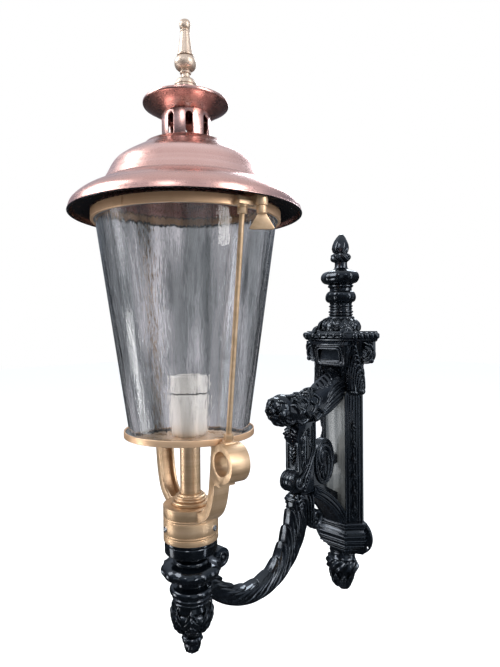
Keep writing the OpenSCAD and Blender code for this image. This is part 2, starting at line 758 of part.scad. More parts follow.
module ear_bolts() {
    head_h = 5;
    color(STEEL) lantern() both_arms() translate([ear_screw_x, 0, 0]) {
        translate([0, 0, floor_z - pad_h - head_h]) cylinder(r = ear_head_r, h = head_h, $fn = 6);
        translate([0, 0, floor_z - pad_h]) cylinder(r = ear_screw_r, h = pad_h + gallery_t);
    }
}
floor_in_r = 84;
module gallery_ring() {
    color(COPPER) lantern() difference() {
        turned([[floor_in_r, floor_z], [gallery_r, floor_z], [gallery_r, floor_z + gallery_h],
            [gallery_r - gallery_t, floor_z + gallery_h], [gallery_r - gallery_t, glass_z0],
                [floor_in_r, glass_z0]]);
        both_arms() translate([ear_screw_x, 0, floor_z - 1])
            cylinder(r = ear_screw_r + 0.05, h = gallery_t + 2);
    }
}
function glass_at(z) = glass_low_r + (z - glass_z0) * glass_slope;
module lower_gasket() {
    top = floor_z + gallery_h - 2;
    out = gallery_r - gallery_t;
    color(RUBBER) lantern()
        turned([[glass_at(glass_z0), glass_z0], [out, glass_z0], [out, top], [glass_at(top), top]]);
}
plate_z1 = glass_z0 + 2;
base_screw_x = tube_r + 8.4;
module holder_plate() {
    r = glass_low_r - glass_t - 3;
    vent_r = 11;
    vent_n = 8;
    color(BRASS) lantern() difference() {
        translate([0, 0, glass_z0]) cylinder(r = r, h = plate_z1 - glass_z0);
        translate([0, 0, glass_z0 - 1]) cylinder(r = tube_r - 4, h = 4);
        for (i = [0:vent_n - 1]) rotate([0, 0, (i + 0.5) * 360 / vent_n]) translate([60, 0, glass_z0 - 1])
            cylinder(r = vent_r, h = 4);
        for (side = [-1, 1]) translate([side * base_screw_x, 0, glass_z0 - 1]) cylinder(r = 2.3, h = 4);
    }
}
shell_t = 1.5;
wire_r = 5;
contact_t = 2;
contact_r = wire_r + 3;
holder_cavity_r = shell_r + shell_t + run_gap;
holder_split = plate_z1 + holder_h * 0.7;
shell_z0 = holder_split - 40;
shell_z1 = plate_z1 + holder_h - 8;
module holder_base() {
    color(PORCELAIN) lantern() difference() {
        turned(concat([[0, plate_z1], [holder_r - 7, plate_z1]],
            [for (i = [1:5]) [holder_r - 7 + 7 * sin(18 * i), plate_z1 + 7 * (1 - cos(18 * i))]],
            [[holder_r, holder_split - 1.5], [holder_r - 1.5, holder_split], [0, holder_split]]));
        translate([0, 0, shell_z0]) cylinder(r = holder_cavity_r, h = holder_h);
        translate([0, 0, shell_z0 - contact_t]) cylinder(r = contact_r + 0.1, h = holder_h);
        translate([0, 0, plate_z1 - 1]) cylinder(r = wire_r, h = holder_h);
        for (side = [-1, 1]) translate([side * base_screw_x, 0, plate_z1 - 1]) cylinder(r = 2.05, h = 12);
    }
}
module holder_body() {
    color(PORCELAIN) lantern() turned([[holder_cavity_r, holder_split], [holder_r - 1.5, holder_split],
        [holder_r, holder_split + 1.5], [holder_r, plate_z1 + holder_h - 3],
            [holder_r - 2, plate_z1 + holder_h],
        [holder_cavity_r, plate_z1 + holder_h]]);
}
module screw_shell() {
    color(BRASS) lantern() ring(shell_r + shell_t, shell_r, shell_z0, shell_z1);
}
module centre_contact() {
    color(BRASS) lantern() translate([0, 0, shell_z0 - contact_t]) cylinder(r = contact_r, h = contact_t);
}
module holder_screws() {
    color(STEEL) lantern() for (side = [-1, 1]) translate([side * base_screw_x, 0, glass_z0 - 3]) {
        cylinder(r = 3.2, h = 3);
        cylinder(r = 2, h = 14);
    }
}
module glass() {
    color("lightsteelblue", 0.4) lantern() turned([[glass_low_r - glass_t, glass_z0],
        [glass_low_r, glass_z0],
        [glass_top_r, glass_z1], [glass_top_r - glass_t, glass_z1]]);
}
module upper_gasket() {
    color(RUBBER) lantern() turned([[glass_at(ring_z0), ring_z0], [ring_in_r, ring_z0],
        [ring_in_r, glass_z1],
        [glass_top_r, glass_z1]]);
}
module tie_rods() {
    color(BRASS) lantern() both_arms() on_rod() translate([0, 0, -rod_foot_l + 1])
        cylinder(r = rod_r, h = rod_top_l + rod_foot_l + 3);
}
nut_l = 10;
nut_r = 7.5;
lug_boss = 2;
module rod_nut() {
    difference() {
        cylinder(r = nut_r, h = nut_l, $fn = 6);
        translate([0, 0, -1]) cylinder(r = rod_r + 0.05, h = nut_l + 2);
    }
}
module rod_nuts_lower() {
    color(BRASS) lantern() both_arms() on_rod() rod_nut();
}
module rod_nuts_upper() {
    color(BRASS) lantern() both_arms() on_rod() translate([0, 0, rod_top_l - lug_boss - nut_l]) rod_nut();
}
module upper_ring() {
    color(COPPER) lantern() ring(ring_out_r, ring_in_r, ring_z0, ring_z1);
}
// Lug on the outside of the upper ring that takes the head of a tie rod, and the hole for the rod
module rod_lug(half_w) {
    translate([ring_out_r - 4, -half_w, ring_z0]) cube([18, 2 * half_w, lug_t]);
    on_rod() translate([0, 0, rod_top_l - lug_boss]) cylinder(r = 8, h = lug_boss + 3);
}
module rod_hole() {
    on_rod() cylinder(r = rod_r + rod_gap, h = rod_top_l + 24);
}
module at_latch() {
    rotate([0, 0, latch_turn]) translate([latch_r, 0, 0]) children();
}
module latch_bracket() {
    finger_w = 8;
    block_turn = 4;
    color(BRASS) lantern() difference() {
        union() {
            rod_lug(12);
            rotate([0, 0, -block_turn]) rotate_extrude(angle = latch_turn + 2 * block_turn)
                translate([ring_out_r - 2, ring_z0 + 1]) square([12, latch_z1 - ring_z0 - 2]);
            rotate([0, 0, latch_turn]) translate([ring_out_r - 2, -finger_w, latch_z0 + 4])
                cube([latch_r - ring_out_r + 2, 2 * finger_w, latch_z1 - latch_z0 - 4]);
            at_latch() translate([0, 0, latch_z0]) cylinder(r = boss_r, h = latch_z1 - latch_z0);
        }
        translate([0, 0, ring_z0 - 10]) cylinder(r = ring_out_r, h = 60);
        at_latch() translate([0, 0, latch_z0 - 1]) cylinder(r = thumb_r + thumb_gap, h = 30);
        rod_hole();
    }
}
module hinge_bracket() {
    half_w = knuckle_l / 2 + run_gap + 9;
    color(BRASS) lantern() rotate([0, 0, 180]) difference() {
        union() {
            rod_lug(half_w);
            for (side = [-1, 1]) {
                low = side > 0 ? knuckle_l / 2 + run_gap : -half_w;
                translate([ring_out_r - 4, low, ring_z0 + lug_t])
                    cube([hinge_x - ring_out_r + 4, 9, hinge_z - ring_z0 - lug_t]);
                translate([hinge_x, low, hinge_z]) rotate([-90, 0, 0]) cylinder(r = knuckle_r, h = 9);
            }
        }
        translate([0, 0, ring_z0 - 10]) cylinder(r = ring_out_r, h = 60);
        rod_hole();
        translate([hinge_x, -30, hinge_z]) rotate([-90, 0, 0]) cylinder(r = hinge_pin_r + 0.02, h = 60);
        translate([hinge_x, -knuckle_l / 2 - run_gap, hinge_z]) rotate([-90, 0, 0])
            cylinder(r = knuckle_r + run_gap, h = knuckle_l + 2 * run_gap);
    }
}
module hinge_pin() {
    l = knuckle_l + 2 * run_gap + 18;
    color(STEEL) lantern() rotate([0, 0, 180]) translate([hinge_x, -l / 2, hinge_z]) rotate([-90, 0, 0]) {
        cylinder(r = hinge_pin_r, h = l);
        translate([0, 0, -2]) cylinder(r = hinge_pin_r + 1.5, h = 2);
    }
}

// Roof
crease_r = 72;
crown_shape = curve([[0, 1], [0.3, 0.83], [0.58, 0.65], [0.72, 0.51], [0.86, 0.25], [1, 0]], 3);
brim_shape = curve([[0, 1], [0.31, 0.84], [0.64, 0.62], [0.9, 0.34], [1, 0]], 3);
dome_line = concat(
    [[chimney_r + 10, crown_z + 11]],
    [for (p = crown_shape) [crease_r + (waist_r - crease_r) * p[0], waist_z + dome_h * p[1]]],
    [for (i = [1:len(brim_shape) - 1]) let (p = brim_shape[i])
        [waist_r + (brim_r - waist_r) * p[0], brim_z + (waist_z - brim_z) * p[1]]]);
function dome_z(r) = lookup(r, dome_line);
drop = sheet_t * 1.4;
// Room in the brim for the hinge and the latch, where they reach so far
module hinge_room() {
    half_w = knuckle_l / 2 + 12;
    rotate([0, 0, 180]) {
        translate([hinge_x, -half_w, hinge_z]) rotate([-90, 0, 0])
            cylinder(r = knuckle_r + run_gap, h = 2 * half_w);
        translate([ring_out_r, -half_w, ring_z0])
            cube([hinge_x - ring_out_r, 2 * half_w, hinge_z - ring_z0 + run_gap]);
        translate([ring_out_r, -half_w, leaf_z0]) cube([hinge_x - ring_out_r, 2 * half_w, tab_t + run_gap]);
    }
}
module latch_room() {
    half_w = boss_r + run_gap;
    rotate([0, 0, latch_turn]) {
        translate([latch_r, 0, latch_z0]) cylinder(r = half_w, h = latch_z1 - latch_z0 + run_gap);
        translate([ring_out_r, -half_w, latch_z0])
            cube([latch_r - ring_out_r, 2 * half_w, latch_z1 - latch_z0 + run_gap]);
        translate([ring_out_r, -half_w, leaf_z0])
            cube([latch_r - ring_out_r + 6, 2 * half_w, tab_t + 2 * run_gap]);
    }
}
module roof_dome() {
    last = len(dome_line) - 1;
    under = [for (i = [last:-1:0]) dome_line[i] - (i == last ? [sheet_t, 0] : [0, drop])];
    neck_r = chimney_r - sheet_t - 2;
    color(COPPER) lantern() difference() {
        turned(concat([[neck_r, crown_z + 11]], dome_line, under, [[neck_r, crown_z + 11 - drop]]));
        hinge_room();
        latch_room();
    }
}
seat_r = waist_r - 2;
module roof_seat() {
    color(COPPER) lantern() turned([[seat_r - sheet_t, roof_z0], [ring_out_r, roof_z0],
        [ring_out_r, roof_z0 + seat_flange_t], [seat_r, roof_z0 + seat_flange_t],
            [seat_r, dome_z(seat_r) - drop],
        [seat_r - sheet_t, dome_z(seat_r - sheet_t) - drop]]);
}
leaf_z0 = roof_z0 + seat_flange_t;
module roof_hinge_leaf() {
    leaf_t = 3;
    color(BRASS) lantern() rotate([0, 0, 180]) difference() {
        union() {
            translate([seat_r + 4, -knuckle_l / 2, leaf_z0])
                cube([hinge_x - seat_r - 4, knuckle_l, leaf_t]);
            translate([hinge_x, -knuckle_l / 2, hinge_z]) rotate([-90, 0, 0])
                cylinder(r = knuckle_r, h = knuckle_l);
        }
        translate([hinge_x, -30, hinge_z]) rotate([-90, 0, 0])
            cylinder(r = hinge_pin_r + hinge_gap, h = 60);
    }
}
module roof_tab() {
    half_w = 9;
    inner = seat_r + 5;
    color(BRASS) lantern() rotate([0, 0, latch_turn]) difference() {
        union() {
            translate([inner, -half_w, leaf_z0]) cube([latch_r - inner, 2 * half_w, tab_t]);
            translate([latch_r, 0, leaf_z0]) cylinder(r = half_w - 3, h = tab_t);
        }
        translate([latch_r, 0, leaf_z0 - 1]) cylinder(r = thumb_r + 1, h = tab_t + 2);
        for (side = [-1, 1]) translate([inner + 7, side * 5, leaf_z0 - 1]) cylinder(r = 1.55, h = 6);
    }
}
module roof_rivets() {
    inner = seat_r + 5;
    color(BRASS) lantern() rotate([0, 0, latch_turn]) for (side = [-1, 1])
        translate([inner + 7, side * 5, leaf_z0]) {
            cylinder(r = 1.5, h = tab_t + 1);
            translate([0, 0, tab_t]) cylinder(r = 3, h = 1.5);
        }
}
module chimney() {
    color(COPPER) lantern() difference() {
        ring(chimney_r, chimney_r - sheet_t, crown_z + 11, chimney_z1);
        for (i = [0:slot_n - 1]) rotate([0, 0, 22.5 + 360 * i / slot_n])
            translate([chimney_r - 10, 0, (chimney_z0 + chimney_z1) / 2 + 1]) {
                translate([0, -slot_w / 2, -slot_h / 2 + slot_w / 2]) cube([20, slot_w, slot_h - slot_w]);
                for (side = [-1, 1]) translate([0, 0, side * (slot_h - slot_w) / 2]) rotate([0, 90, 0])
                    cylinder(r = slot_w / 2, h = 20);
            }
    }
}
module chimney_cap() {
    z = chimney_z1;
    top = cap_z + 24;
    color(COPPER) lantern() difference() {
        turned(concat([[chimney_r, z]], [[cap_r - 1, cap_z - 5], [cap_r, cap_z - 3], [cap_r, cap_z - 1],
            [cap_r - 1, cap_z], [45, cap_z + 10], [19, top - 2], [19, top], [0, top], [0, z]]));
        turned([[0, z - 1], [chimney_r - sheet_t, z - 1], [chimney_r - sheet_t, z],
            [cap_r - 5, cap_z - 3.5],
            [45, cap_z + 10 - sheet_t], [17, top - 2 - sheet_t], [0, top - 2 - sheet_t]]);
        translate([0, 0, top - 10]) cylinder(r = 4.3, h = 20);
    }
}
cap_top = cap_z + 24;
module cap_stud() {
    color(STEEL) lantern() {
        translate([0, 0, cap_top - 12]) cylinder(r = 4, h = 26);
        translate([0, 0, cap_top - 4 - sheet_t - 2]) cylinder(r = 8, h = 4 , $fn = 6);
    }
}
module roof_finial() {
    z = cap_top;
    color(BRASS) lantern() difference() {
        turned(concat([[0, z], [19, z], [19, z + 8]], hollow(17, 7.1, z + 9, z + 16), [[7.1, z + 30]],
            bead(10, 18.4, z + 32, z + 54), [[12.6, z + 56], [7.5, z + 95]],
                bead(5, 9.5, z + 97, z + 113, 10), [[0, z + 113]]));
        translate([0, 0, z - 1]) cylinder(r = 4.3, h = 16);
    }
}
// Thumb screw with a flat fan-shaped grip
module thumb_screw() {
    fan_t = 5;
    fan_h = 22;
    fan_turn = -29;
    collar_z = latch_z0 - run_gap;
    color(BRASS) lantern() at_latch() {
        translate([0, 0, collar_z - 11]) cylinder(r = thumb_r, h = leaf_z0 + tab_t + 1 - collar_z + 11);
        translate([0, 0, collar_z - 11]) cylinder(r = 7.5, h = 11);
        rotate([0, 0, fan_turn - latch_turn]) translate([-fan_t / 2, 0, collar_z - 11 - fan_h])
            rotate([90, 0, 90])
            linear_extrude(fan_t) polygon([[-5, fan_h + 2], [-6, fan_h], [-9, fan_h * 0.75], [-18, 2],
                [-16, 0],
                [16, 0], [18, 2], [9, fan_h * 0.75], [6, fan_h], [5, fan_h + 2]]);
    }
}

wall_plate();
pillar();
leaf_drops();
plinth();
capital();
console();
scroll_corbels();
top_finial();
bottom_finial();
beast_neck();
strut();
leaf_medallion();
arch_brace();
brace_volute();
swan_arm();
socket_volute();
lamp_socket();
spigot();
pendant();
frog();
grub_screws();
centre_tube();
tube_foot();
tube_lock_nut();
ear_bolts();
gallery_ring();
lower_gasket();
holder_plate();
holder_base();
holder_body();
screw_shell();
centre_contact();
holder_screws();
glass();
upper_gasket();
tie_rods();
rod_nuts_lower();
rod_nuts_upper();
upper_ring();
latch_bracket();
hinge_bracket();
hinge_pin();
roof_hinge_leaf();
roof_seat();
roof_dome();
roof_tab();
roof_rivets();
chimney();
chimney_cap();
cap_stud();
roof_finial();
thumb_screw();
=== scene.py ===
from math import acos, cos, log, pi, radians, sin, sqrt, tan

import bmesh
import bpy
import numpy as np
from mathutils import Matrix, Vector


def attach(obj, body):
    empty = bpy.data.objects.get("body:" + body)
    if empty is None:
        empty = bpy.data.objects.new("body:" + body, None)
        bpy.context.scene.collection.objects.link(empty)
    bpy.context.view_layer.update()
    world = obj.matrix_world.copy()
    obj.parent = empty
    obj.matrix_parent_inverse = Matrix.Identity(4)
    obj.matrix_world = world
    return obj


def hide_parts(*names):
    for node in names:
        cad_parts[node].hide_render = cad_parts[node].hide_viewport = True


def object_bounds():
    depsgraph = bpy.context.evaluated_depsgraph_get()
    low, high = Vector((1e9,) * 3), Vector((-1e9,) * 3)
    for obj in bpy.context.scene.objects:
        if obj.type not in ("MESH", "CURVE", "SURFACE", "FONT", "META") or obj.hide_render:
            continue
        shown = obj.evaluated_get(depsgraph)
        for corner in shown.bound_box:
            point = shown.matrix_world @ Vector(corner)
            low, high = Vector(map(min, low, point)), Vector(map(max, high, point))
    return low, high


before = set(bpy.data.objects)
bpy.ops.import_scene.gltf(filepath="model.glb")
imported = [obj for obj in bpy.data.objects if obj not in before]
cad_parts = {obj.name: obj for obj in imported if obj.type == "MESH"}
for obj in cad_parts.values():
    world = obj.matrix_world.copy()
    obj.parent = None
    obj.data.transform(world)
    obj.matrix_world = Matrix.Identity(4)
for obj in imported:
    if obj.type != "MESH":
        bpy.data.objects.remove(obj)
cad_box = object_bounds()

MM = 0.001

# The lantern's axis and its turn about it, and the pillar's chamfers
REACH = 450
LANTERN = Matrix.Translation((0, -REACH, 0)) @ Matrix.Rotation(radians(-10), 4, "Z")
SOCKET = Matrix.Translation((0, -REACH, 0))
HERE = Matrix.Identity(4)
RIGHT_CHAMFER = Matrix.Translation((40, -19, 0)) @ Matrix.Rotation(radians(45), 4, "Z")

ROOT, ROOF, LATCH = "lamp_frame", "roof", "latch_screw"


# Materials

class Tree:
    """Node tree with short ways to add nodes; each input takes a socket to link or a plain value."""

    def __init__(self, owner):
        owner.use_nodes = True
        self.nodes, self.links = owner.node_tree.nodes, owner.node_tree.links

    def fill(self, node, inputs):
        for key, value in inputs.items():
            if isinstance(value, bpy.types.NodeSocket):
                self.links.new(value, node.inputs[key])
            else:
                node.inputs[key].default_value = value
        return node

    def add(self, kind, inputs=(), **settings):
        node = self.nodes.new("ShaderNode" + kind)
        for key, value in settings.items():
            setattr(node, key, value)
        return self.fill(node, dict(inputs))

    def maths(self, operation, *values):
        return self.add("Math", enumerate(values), operation=operation).outputs[0]

    def noise(self, vector, scale, detail=4.0, roughness=0.55):
        inputs = {"Vector": vector, "Scale": scale, "Detail": detail, "Roughness": roughness}
        return self.add("TexNoise", inputs).outputs["Fac"]

    def streaks(self, across, down, detail, roughness=0.55):
        """Noise drawn out along the height; across and down are its scales."""
        inputs = {"Vector": self.space(), "Scale": (across, across, down)}
        return self.noise(self.add("Mapping", inputs).outputs["Vector"], 1.0, detail, roughness)

    def ramp(self, value, stops):
        node = self.add("ValToRGB", {"Fac": value})
        elements = node.color_ramp.elements
        while len(elements) < len(stops):
            elements.new(0.5)
        for element, (place, colour) in zip(elements, stops):
            element.position = place
            element.color = (*colour, 1.0)
        return node.outputs["Color"]

    def grey(self, value, lo, hi, start=0.3, end=0.7):
        return self.ramp(value, [(start, (lo, lo, lo)), (end, (hi, hi, hi))])

    def mixed(self, factor, first, second, blend="MIX"):
        inputs = {0: factor, 6: first, 7: second}
        return self.add("Mix", inputs, data_type="RGBA", blend_type=blend).outputs[2]

    def bump(self, height, strength, distance, over=None):
        """Unevenness that follows a height, laid over a broader one."""
        inputs = {"Height": height, "Strength": strength, "Distance": distance}
        if over:
            inputs["Normal"] = over
        return self.add("Bump", inputs).outputs["Normal"]

    def space(self, kind="Object"):
        return self.add("TexCoord").outputs[kind]

    def parts(self, vector):
        return self.add("SeparateXYZ", {0: vector}).outputs

    def ridges(self):
        return self.add("NewGeometry").outputs["Pointiness"]

    def turned(self):
        """Radius and height about the lantern's axis, for marks left by spinning and turning."""
        shift = self.add("VectorMath", {0: self.space(), 1: (0, REACH * MM, 0)}, operation="ADD")
        at = self.parts(shift.outputs[0])
        flat = self.add("CombineXYZ", {"X": at["X"], "Y": at["Y"]})
        radius = self.add("VectorMath", {0: flat.outputs[0]}, operation="LENGTH").outputs["Value"]
        return self.add("CombineXYZ", {"X": radius, "Z": at["Z"]}).outputs[0]

    def facing(self, axis, start, end):
        """1 where the surface faces against an axis, 0 elsewhere."""
        away = self.maths("MULTIPLY", self.parts(self.space("Normal"))[axis], -1)
        return self.grey(away, 0.0, 1.0, start, end)


def shader(name):
    mat = bpy.data.materials.new(name)
    tree = Tree(mat)
    return mat, tree, tree.nodes["Principled BSDF"]


def underside(tree, colour):
    """Faces that look down are coloured darker: olive brown above the glass, slate grey under the brim."""
    radius = tree.parts(tree.turned())["X"]
    faces_down_colour = tree.ramp(radius, [(0.147, (0.12, 0.095, 0.05)), (0.157, (0.05, 0.047, 0.055))])
    return tree.mixed(tree.facing("Z", 0.12, 0.3), colour, faces_down_colour)


TURNING_LINES = 900
SPINNING_BANDS = 90
PATINA_CLOUDS = 7
# Colour of the painted shade in hollows
HOLLOW_SHADE = (0.5, 0.4, 0.35)


def metal(name, colours, rough, lines=0.25, metallic=1.0, dark_below=False):
    """Lacquered metal with turning lines, cloudy patina, painted shade darkening its hollows and a little
    unevenness.
    """
    mat, tree, bsdf = shader(name)
    space, turned = tree.space(), tree.turned()
    clouds = tree.maths("MULTIPLY", tree.noise(space, PATINA_CLOUDS, 5), 0.5)
    bands = tree.noise(turned, SPINNING_BANDS, 4)
    colour = tree.ramp(tree.maths("MULTIPLY_ADD", bands, 0.5, clouds), colours)
    # Painted shade: hollows found by pointiness are multiplied darker
    painted_hollow_shade = tree.ramp(tree.ridges(), [(0.40, HOLLOW_SHADE), (0.49, (1, 1, 1))])
    colour = tree.mixed(1.0, colour, painted_hollow_shade, "MULTIPLY")
    marks = tree.noise(turned, TURNING_LINES, 2)
    grain = tree.maths("MULTIPLY_ADD", marks, 0.5, tree.noise(space, PATINA_CLOUDS * 9, 6, 0.7))
    uneven = tree.bump(tree.noise(space, PATINA_CLOUDS * 2.5, 2), 0.15, 0.002)
    tree.fill(bsdf, {
        "Metallic": metallic, "Base Color": underside(tree, colour) if dark_below else colour,
        "Roughness": tree.grey(grain, rough * 0.75, rough * 1.45, 0.35, 1.0),
        "Normal": tree.bump(marks, lines, 0.0002, uneven)})
    return mat


def enamel(name, painted_front_sheen=False):
    """Gloss black paint on a casting: orange peel, soft lumps, and a painted highlight that colours ridges a
    little lighter.
    """
    mat, tree, bsdf = shader(name)
    space = tree.space()
    blacks = [(0.35, (0.0009, 0.0013, 0.0019)), (0.7, (0.0022, 0.0032, 0.0048))]
    colour = tree.ramp(tree.noise(space, 22, 5), blacks)
    # Painted highlight: ridges found by pointiness are coloured a lighter blue-grey
    colour = tree.mixed(tree.grey(tree.ridges(), 0.0, 0.4, 0.53, 0.66), colour, (0.016, 0.024, 0.036, 1))
    gloss = tree.grey(tree.noise(space, 60, 4), 0.10, 0.26)
    if painted_front_sheen:
        # Painted reflection: the flat front facing -y is coloured a lighter streaky grey and made rougher,
        # standing in for the sky mirrored in it
        front = tree.facing("Y", 0.93, 0.98)
        sheen_streaks = [(0.35, (0.055, 0.058, 0.055)), (0.65, (0.17, 0.172, 0.165))]
        colour = tree.mixed(front, colour, tree.ramp(tree.streaks(90, 7, 4), sheen_streaks))
        gloss = tree.mixed(front, gloss, (0.42, 0.42, 0.42, 1))
    lumps = tree.bump(tree.noise(space, 48, 3), 0.3, 0.002)
    tree.fill(bsdf, {
        "Base Color": colour, "Roughness": gloss, "Coat Weight": 0.3, "Coat Roughness": 0.05,
        "Specular IOR Level": 0.42, "Specular Tint": (0.72, 0.84, 1.0, 1),
        "Normal": tree.bump(tree.noise(space, 240, 3), 0.15, 0.0005, lumps)})
    return mat


def clear_glass(name):
    """Old drawn glass, smoky grey in its thickness, with long ripples from top to bottom and painted
    reflections as dark streaks in its colour.
    """
    mat, tree, bsdf = shader(name)
    # Painted reflection: dark and pale vertical streaks in the glass colour stand in for mirrored surroundings
    reflection_streak_tones = [(0.34, (0.40, 0.41, 0.42)), (0.45, (0.88, 0.88, 0.88)), (0.62, (0.99, 0.98, 0.98))]
    lines = tree.ramp(tree.streaks(75, 5, 5, 0.7), reflection_streak_tones)
    bands = tree.ramp(tree.streaks(22, 1.2, 3, 0.5), [(0.40, (0.55, 0.56, 0.57)), (0.56, (0.99, 0.97, 0.99))])
    tree.fill(bsdf, {
        "Base Color": tree.mixed(1.0, lines, bands, "MULTIPLY"), "Transmission Weight": 1.0, "IOR": 1.46,
        "Roughness": 0.015, "Normal": tree.bump(tree.streaks(30, 2.0, 5, 0.6), 0.55, 0.004)})
    smoke = tree.add("VolumeAbsorption", {"Color": (0.42, 0.46, 0.49, 1), "Density": 105})
    tree.fill(tree.nodes["Material Output"], {"Volume": smoke.outputs[0]})
    return mat


def plain(name, clouds, dark, light, rough, coat, peel):
    """One material in two close shades with a fine skin; clouds and peel are noise settings."""
    mat, tree, bsdf = shader(name)
    space = tree.space()
    fine, detail, strength, distance = peel
    tree.fill(bsdf, {
        "Base Color": tree.ramp(tree.noise(space, *clouds), [(0.3, dark), (0.7, light)]), "Roughness": rough,
        "Coat Weight": coat, "Normal": tree.bump(tree.noise(space, fine, detail), strength, distance)})
    return mat


COPPER_TONES = [(0.30, (0.50, 0.27, 0.235)), (0.50, (0.68, 0.41, 0.365)), (0.70, (0.80, 0.53, 0.485))]
BRONZE_TONES = [(0.30, (0.42, 0.25, 0.14)), (0.50, (0.64, 0.41, 0.25)), (0.72, (0.80, 0.57, 0.38))]
BRASS_TONES = [(0.32, (0.42, 0.28, 0.16)), (0.50, (0.62, 0.43, 0.27)), (0.70, (0.76, 0.57, 0.39))]
PALE_TONES = [(0.30, (0.42, 0.31, 0.24)), (0.50, (0.58, 0.46, 0.37)), (0.72, (0.70, 0.59, 0.49))]
STEEL_TONES = [(0.3, (0.60, 0.61, 0.63)), (0.7, (0.82, 0.83, 0.85))]
COPPER = metal("copper", COPPER_TONES, 0.24, 0.12)
SHELL_COPPER = metal("shell_copper", COPPER_TONES, 0.24, 0.12, dark_below=True)
RIM_BRONZE = metal("rim_bronze", BRONZE_TONES, 0.36, metallic=0.75)
BRASS = metal("brass", BRASS_TONES, 0.36, 0.2, metallic=0.84)
PALE_BRASS = metal("pale_brass", PALE_TONES, 0.38, metallic=0.85)
STEEL = metal("steel", STEEL_TONES, 0.16, 0.1)
ENAMEL = enamel("black_enamel")
# Pillar enamel with a painted reflection on its front
PILLAR_ENAMEL = enamel("pillar_enamel", painted_front_sheen=True)
GLASS = clear_glass("glass")
GLAZE = plain("porcelain", (30, 3), (0.70, 0.67, 0.61), (0.78, 0.75, 0.70), 0.22, 0.6, (120, 2, 0.1, 0.0006))
SEALING = plain("sealing", (90, 4), (0.045, 0.05, 0.055), (0.10, 0.105, 0.11), 0.6, 0, (500, 3, 0.3, 0.0004))

# Material, body and slot that go together
IRONWORK = (ENAMEL, ROOT, "black_iron")
RIMS = (RIM_BRONZE, ROOT, "copper")
PORCELAIN = (GLAZE, ROOT, "porcelain")
LAMP_STEEL = (STEEL, ROOT, "steel")
ROOF_COPPER = (COPPER, ROOF, "copper")
LAMP_BRASS, ROOF_BRASS, LATCH_BRASS = ((BRASS, body, "brass") for body in (ROOT, ROOF, LATCH))


# Mesh helpers; outlines and points are in millimetres

def new_object(name, data):
    obj = bpy.data.objects.new(name, data)
    bpy.context.scene.collection.objects.link(obj)
    return obj


def new_mesh(name, verts, faces):
    mesh = bpy.data.meshes.new(name)
    mesh.from_pydata((np.asarray(verts, float) * MM).tolist(), [], faces)
    return mesh


def piece(name, verts, faces, mat, body, slot, nodes, place, sharp):
    mesh = new_mesh(name, verts, faces)
    bm = bmesh.new()
    bm.from_mesh(mesh)
    bmesh.ops.remove_doubles(bm, verts=bm.verts, dist=1e-6)
    bmesh.ops.recalc_face_normals(bm, faces=bm.faces)
    bm.to_mesh(mesh)
    bm.free()
    shift = place.copy()
    shift.translation = place.translation * MM
    mesh.transform(shift)
    return finish_piece(name, mesh, mat, body, nodes, sharp)


def finish_piece(name, mesh, mat, body, nodes, sharp):
    obj = new_object(name, mesh)
    mesh.materials.clear()
    mesh.materials.append(mat)
    mesh.shade_smooth()
    mesh.set_sharp_from_angle(angle=radians(sharp))
    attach(obj, body)
    if nodes:
        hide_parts(*nodes)
    return obj


NEARLY_STRAIGHT = radians(80)


def arc_points(a, b, c, radius, steps):
    """Points that round the corner b between a and c."""
    u = np.array(a, float) - b
    v = np.array(c, float) - b
    lu, lv = np.linalg.norm(u), np.linalg.norm(v)
    if lu < 1e-6 or lv < 1e-6:
        return [b]
    u, v = u / lu, v / lv
    half = acos(max(-1.0, min(1.0, float(u @ v)))) / 2
    if half > NEARLY_STRAIGHT:
        return [b]
    back = min(radius / tan(half), lu * 0.45, lv * 0.45)
    start, end = b + u * back, b + v * back
    return [(1 - t) ** 2 * start + 2 * t * (1 - t) * b + t * t * end for t in np.linspace(0, 1, steps + 1)]


def rounded(outline, radius, steps=3):
    pts = [np.array(p, float) for p in outline]
    out = []
    for i, p in enumerate(pts):
        out += arc_points(pts[i - 1], p, pts[(i + 1) % len(pts)], radius, steps)
    return [tuple(p) for p in out]


def lathe(name, profile, mat, body, slot, nodes=(), place=LANTERN, segs=144, turn=(0, 360), radius=0.6,
          carve=None, sharp=35):
    """Turned piece from a closed outline of (radius, height); carve(angle, r, z) gives new radii."""
    section = np.array(rounded([(max(r, 0.0), z) for r, z in profile], radius) if radius else profile, float)
    full = turn[1] - turn[0] == 360
    angles = turn[0] + (turn[1] - turn[0]) * np.arange(segs if full else segs + 1) / segs
    a, r, z = np.broadcast_arrays(angles[:, None], section[None, :, 0], section[None, :, 1])
    if carve:
        r = np.where(r > 0.01, carve(a, r, z), 0)
    a = np.radians(a)
    rings = np.stack([r * np.cos(a), r * np.sin(a), z], -1)
    verts, faces = skin(rings, not full)
    if full:
        n, k = rings.shape[:2]
        faces += [[(n - 1) * k + j, j, (j + 1) % k, (n - 1) * k + (j + 1) % k] for j in range(k)]
    return piece(name, verts, faces, mat, body, slot, nodes, place, sharp)


def spline(points, steps):
    """Smooth curve through points with any number of values each."""
    p = np.asarray(points, float)
    q = np.vstack([p[:1], p, p[-1:]])
    t = (np.arange(steps) / steps)[:, None]
    out = []
    for i in range(len(p) - 1):
        a, b, c, d = q[i:i + 4]
        square, cube = (2 * a - 5 * b + 4 * c - d) * t * t, (3 * b - a - 3 * c + d) * t ** 3
        out.append(0.5 * (2 * b + (c - a) * t + square + cube))
    return np.vstack(out + [p[-1:]])


def along(points, count):
    """The same curve with points at even steps of its length, which the first three values give."""
    fine = spline(points, 12)
    length = np.concatenate([[0], np.cumsum(np.linalg.norm(np.diff(fine[:, :3], axis=0), axis=1))])
    at = np.linspace(0, length[-1], count)
    return np.stack([np.interp(at, length, fine[:, i]) for i in range(fine.shape[1])], 1)


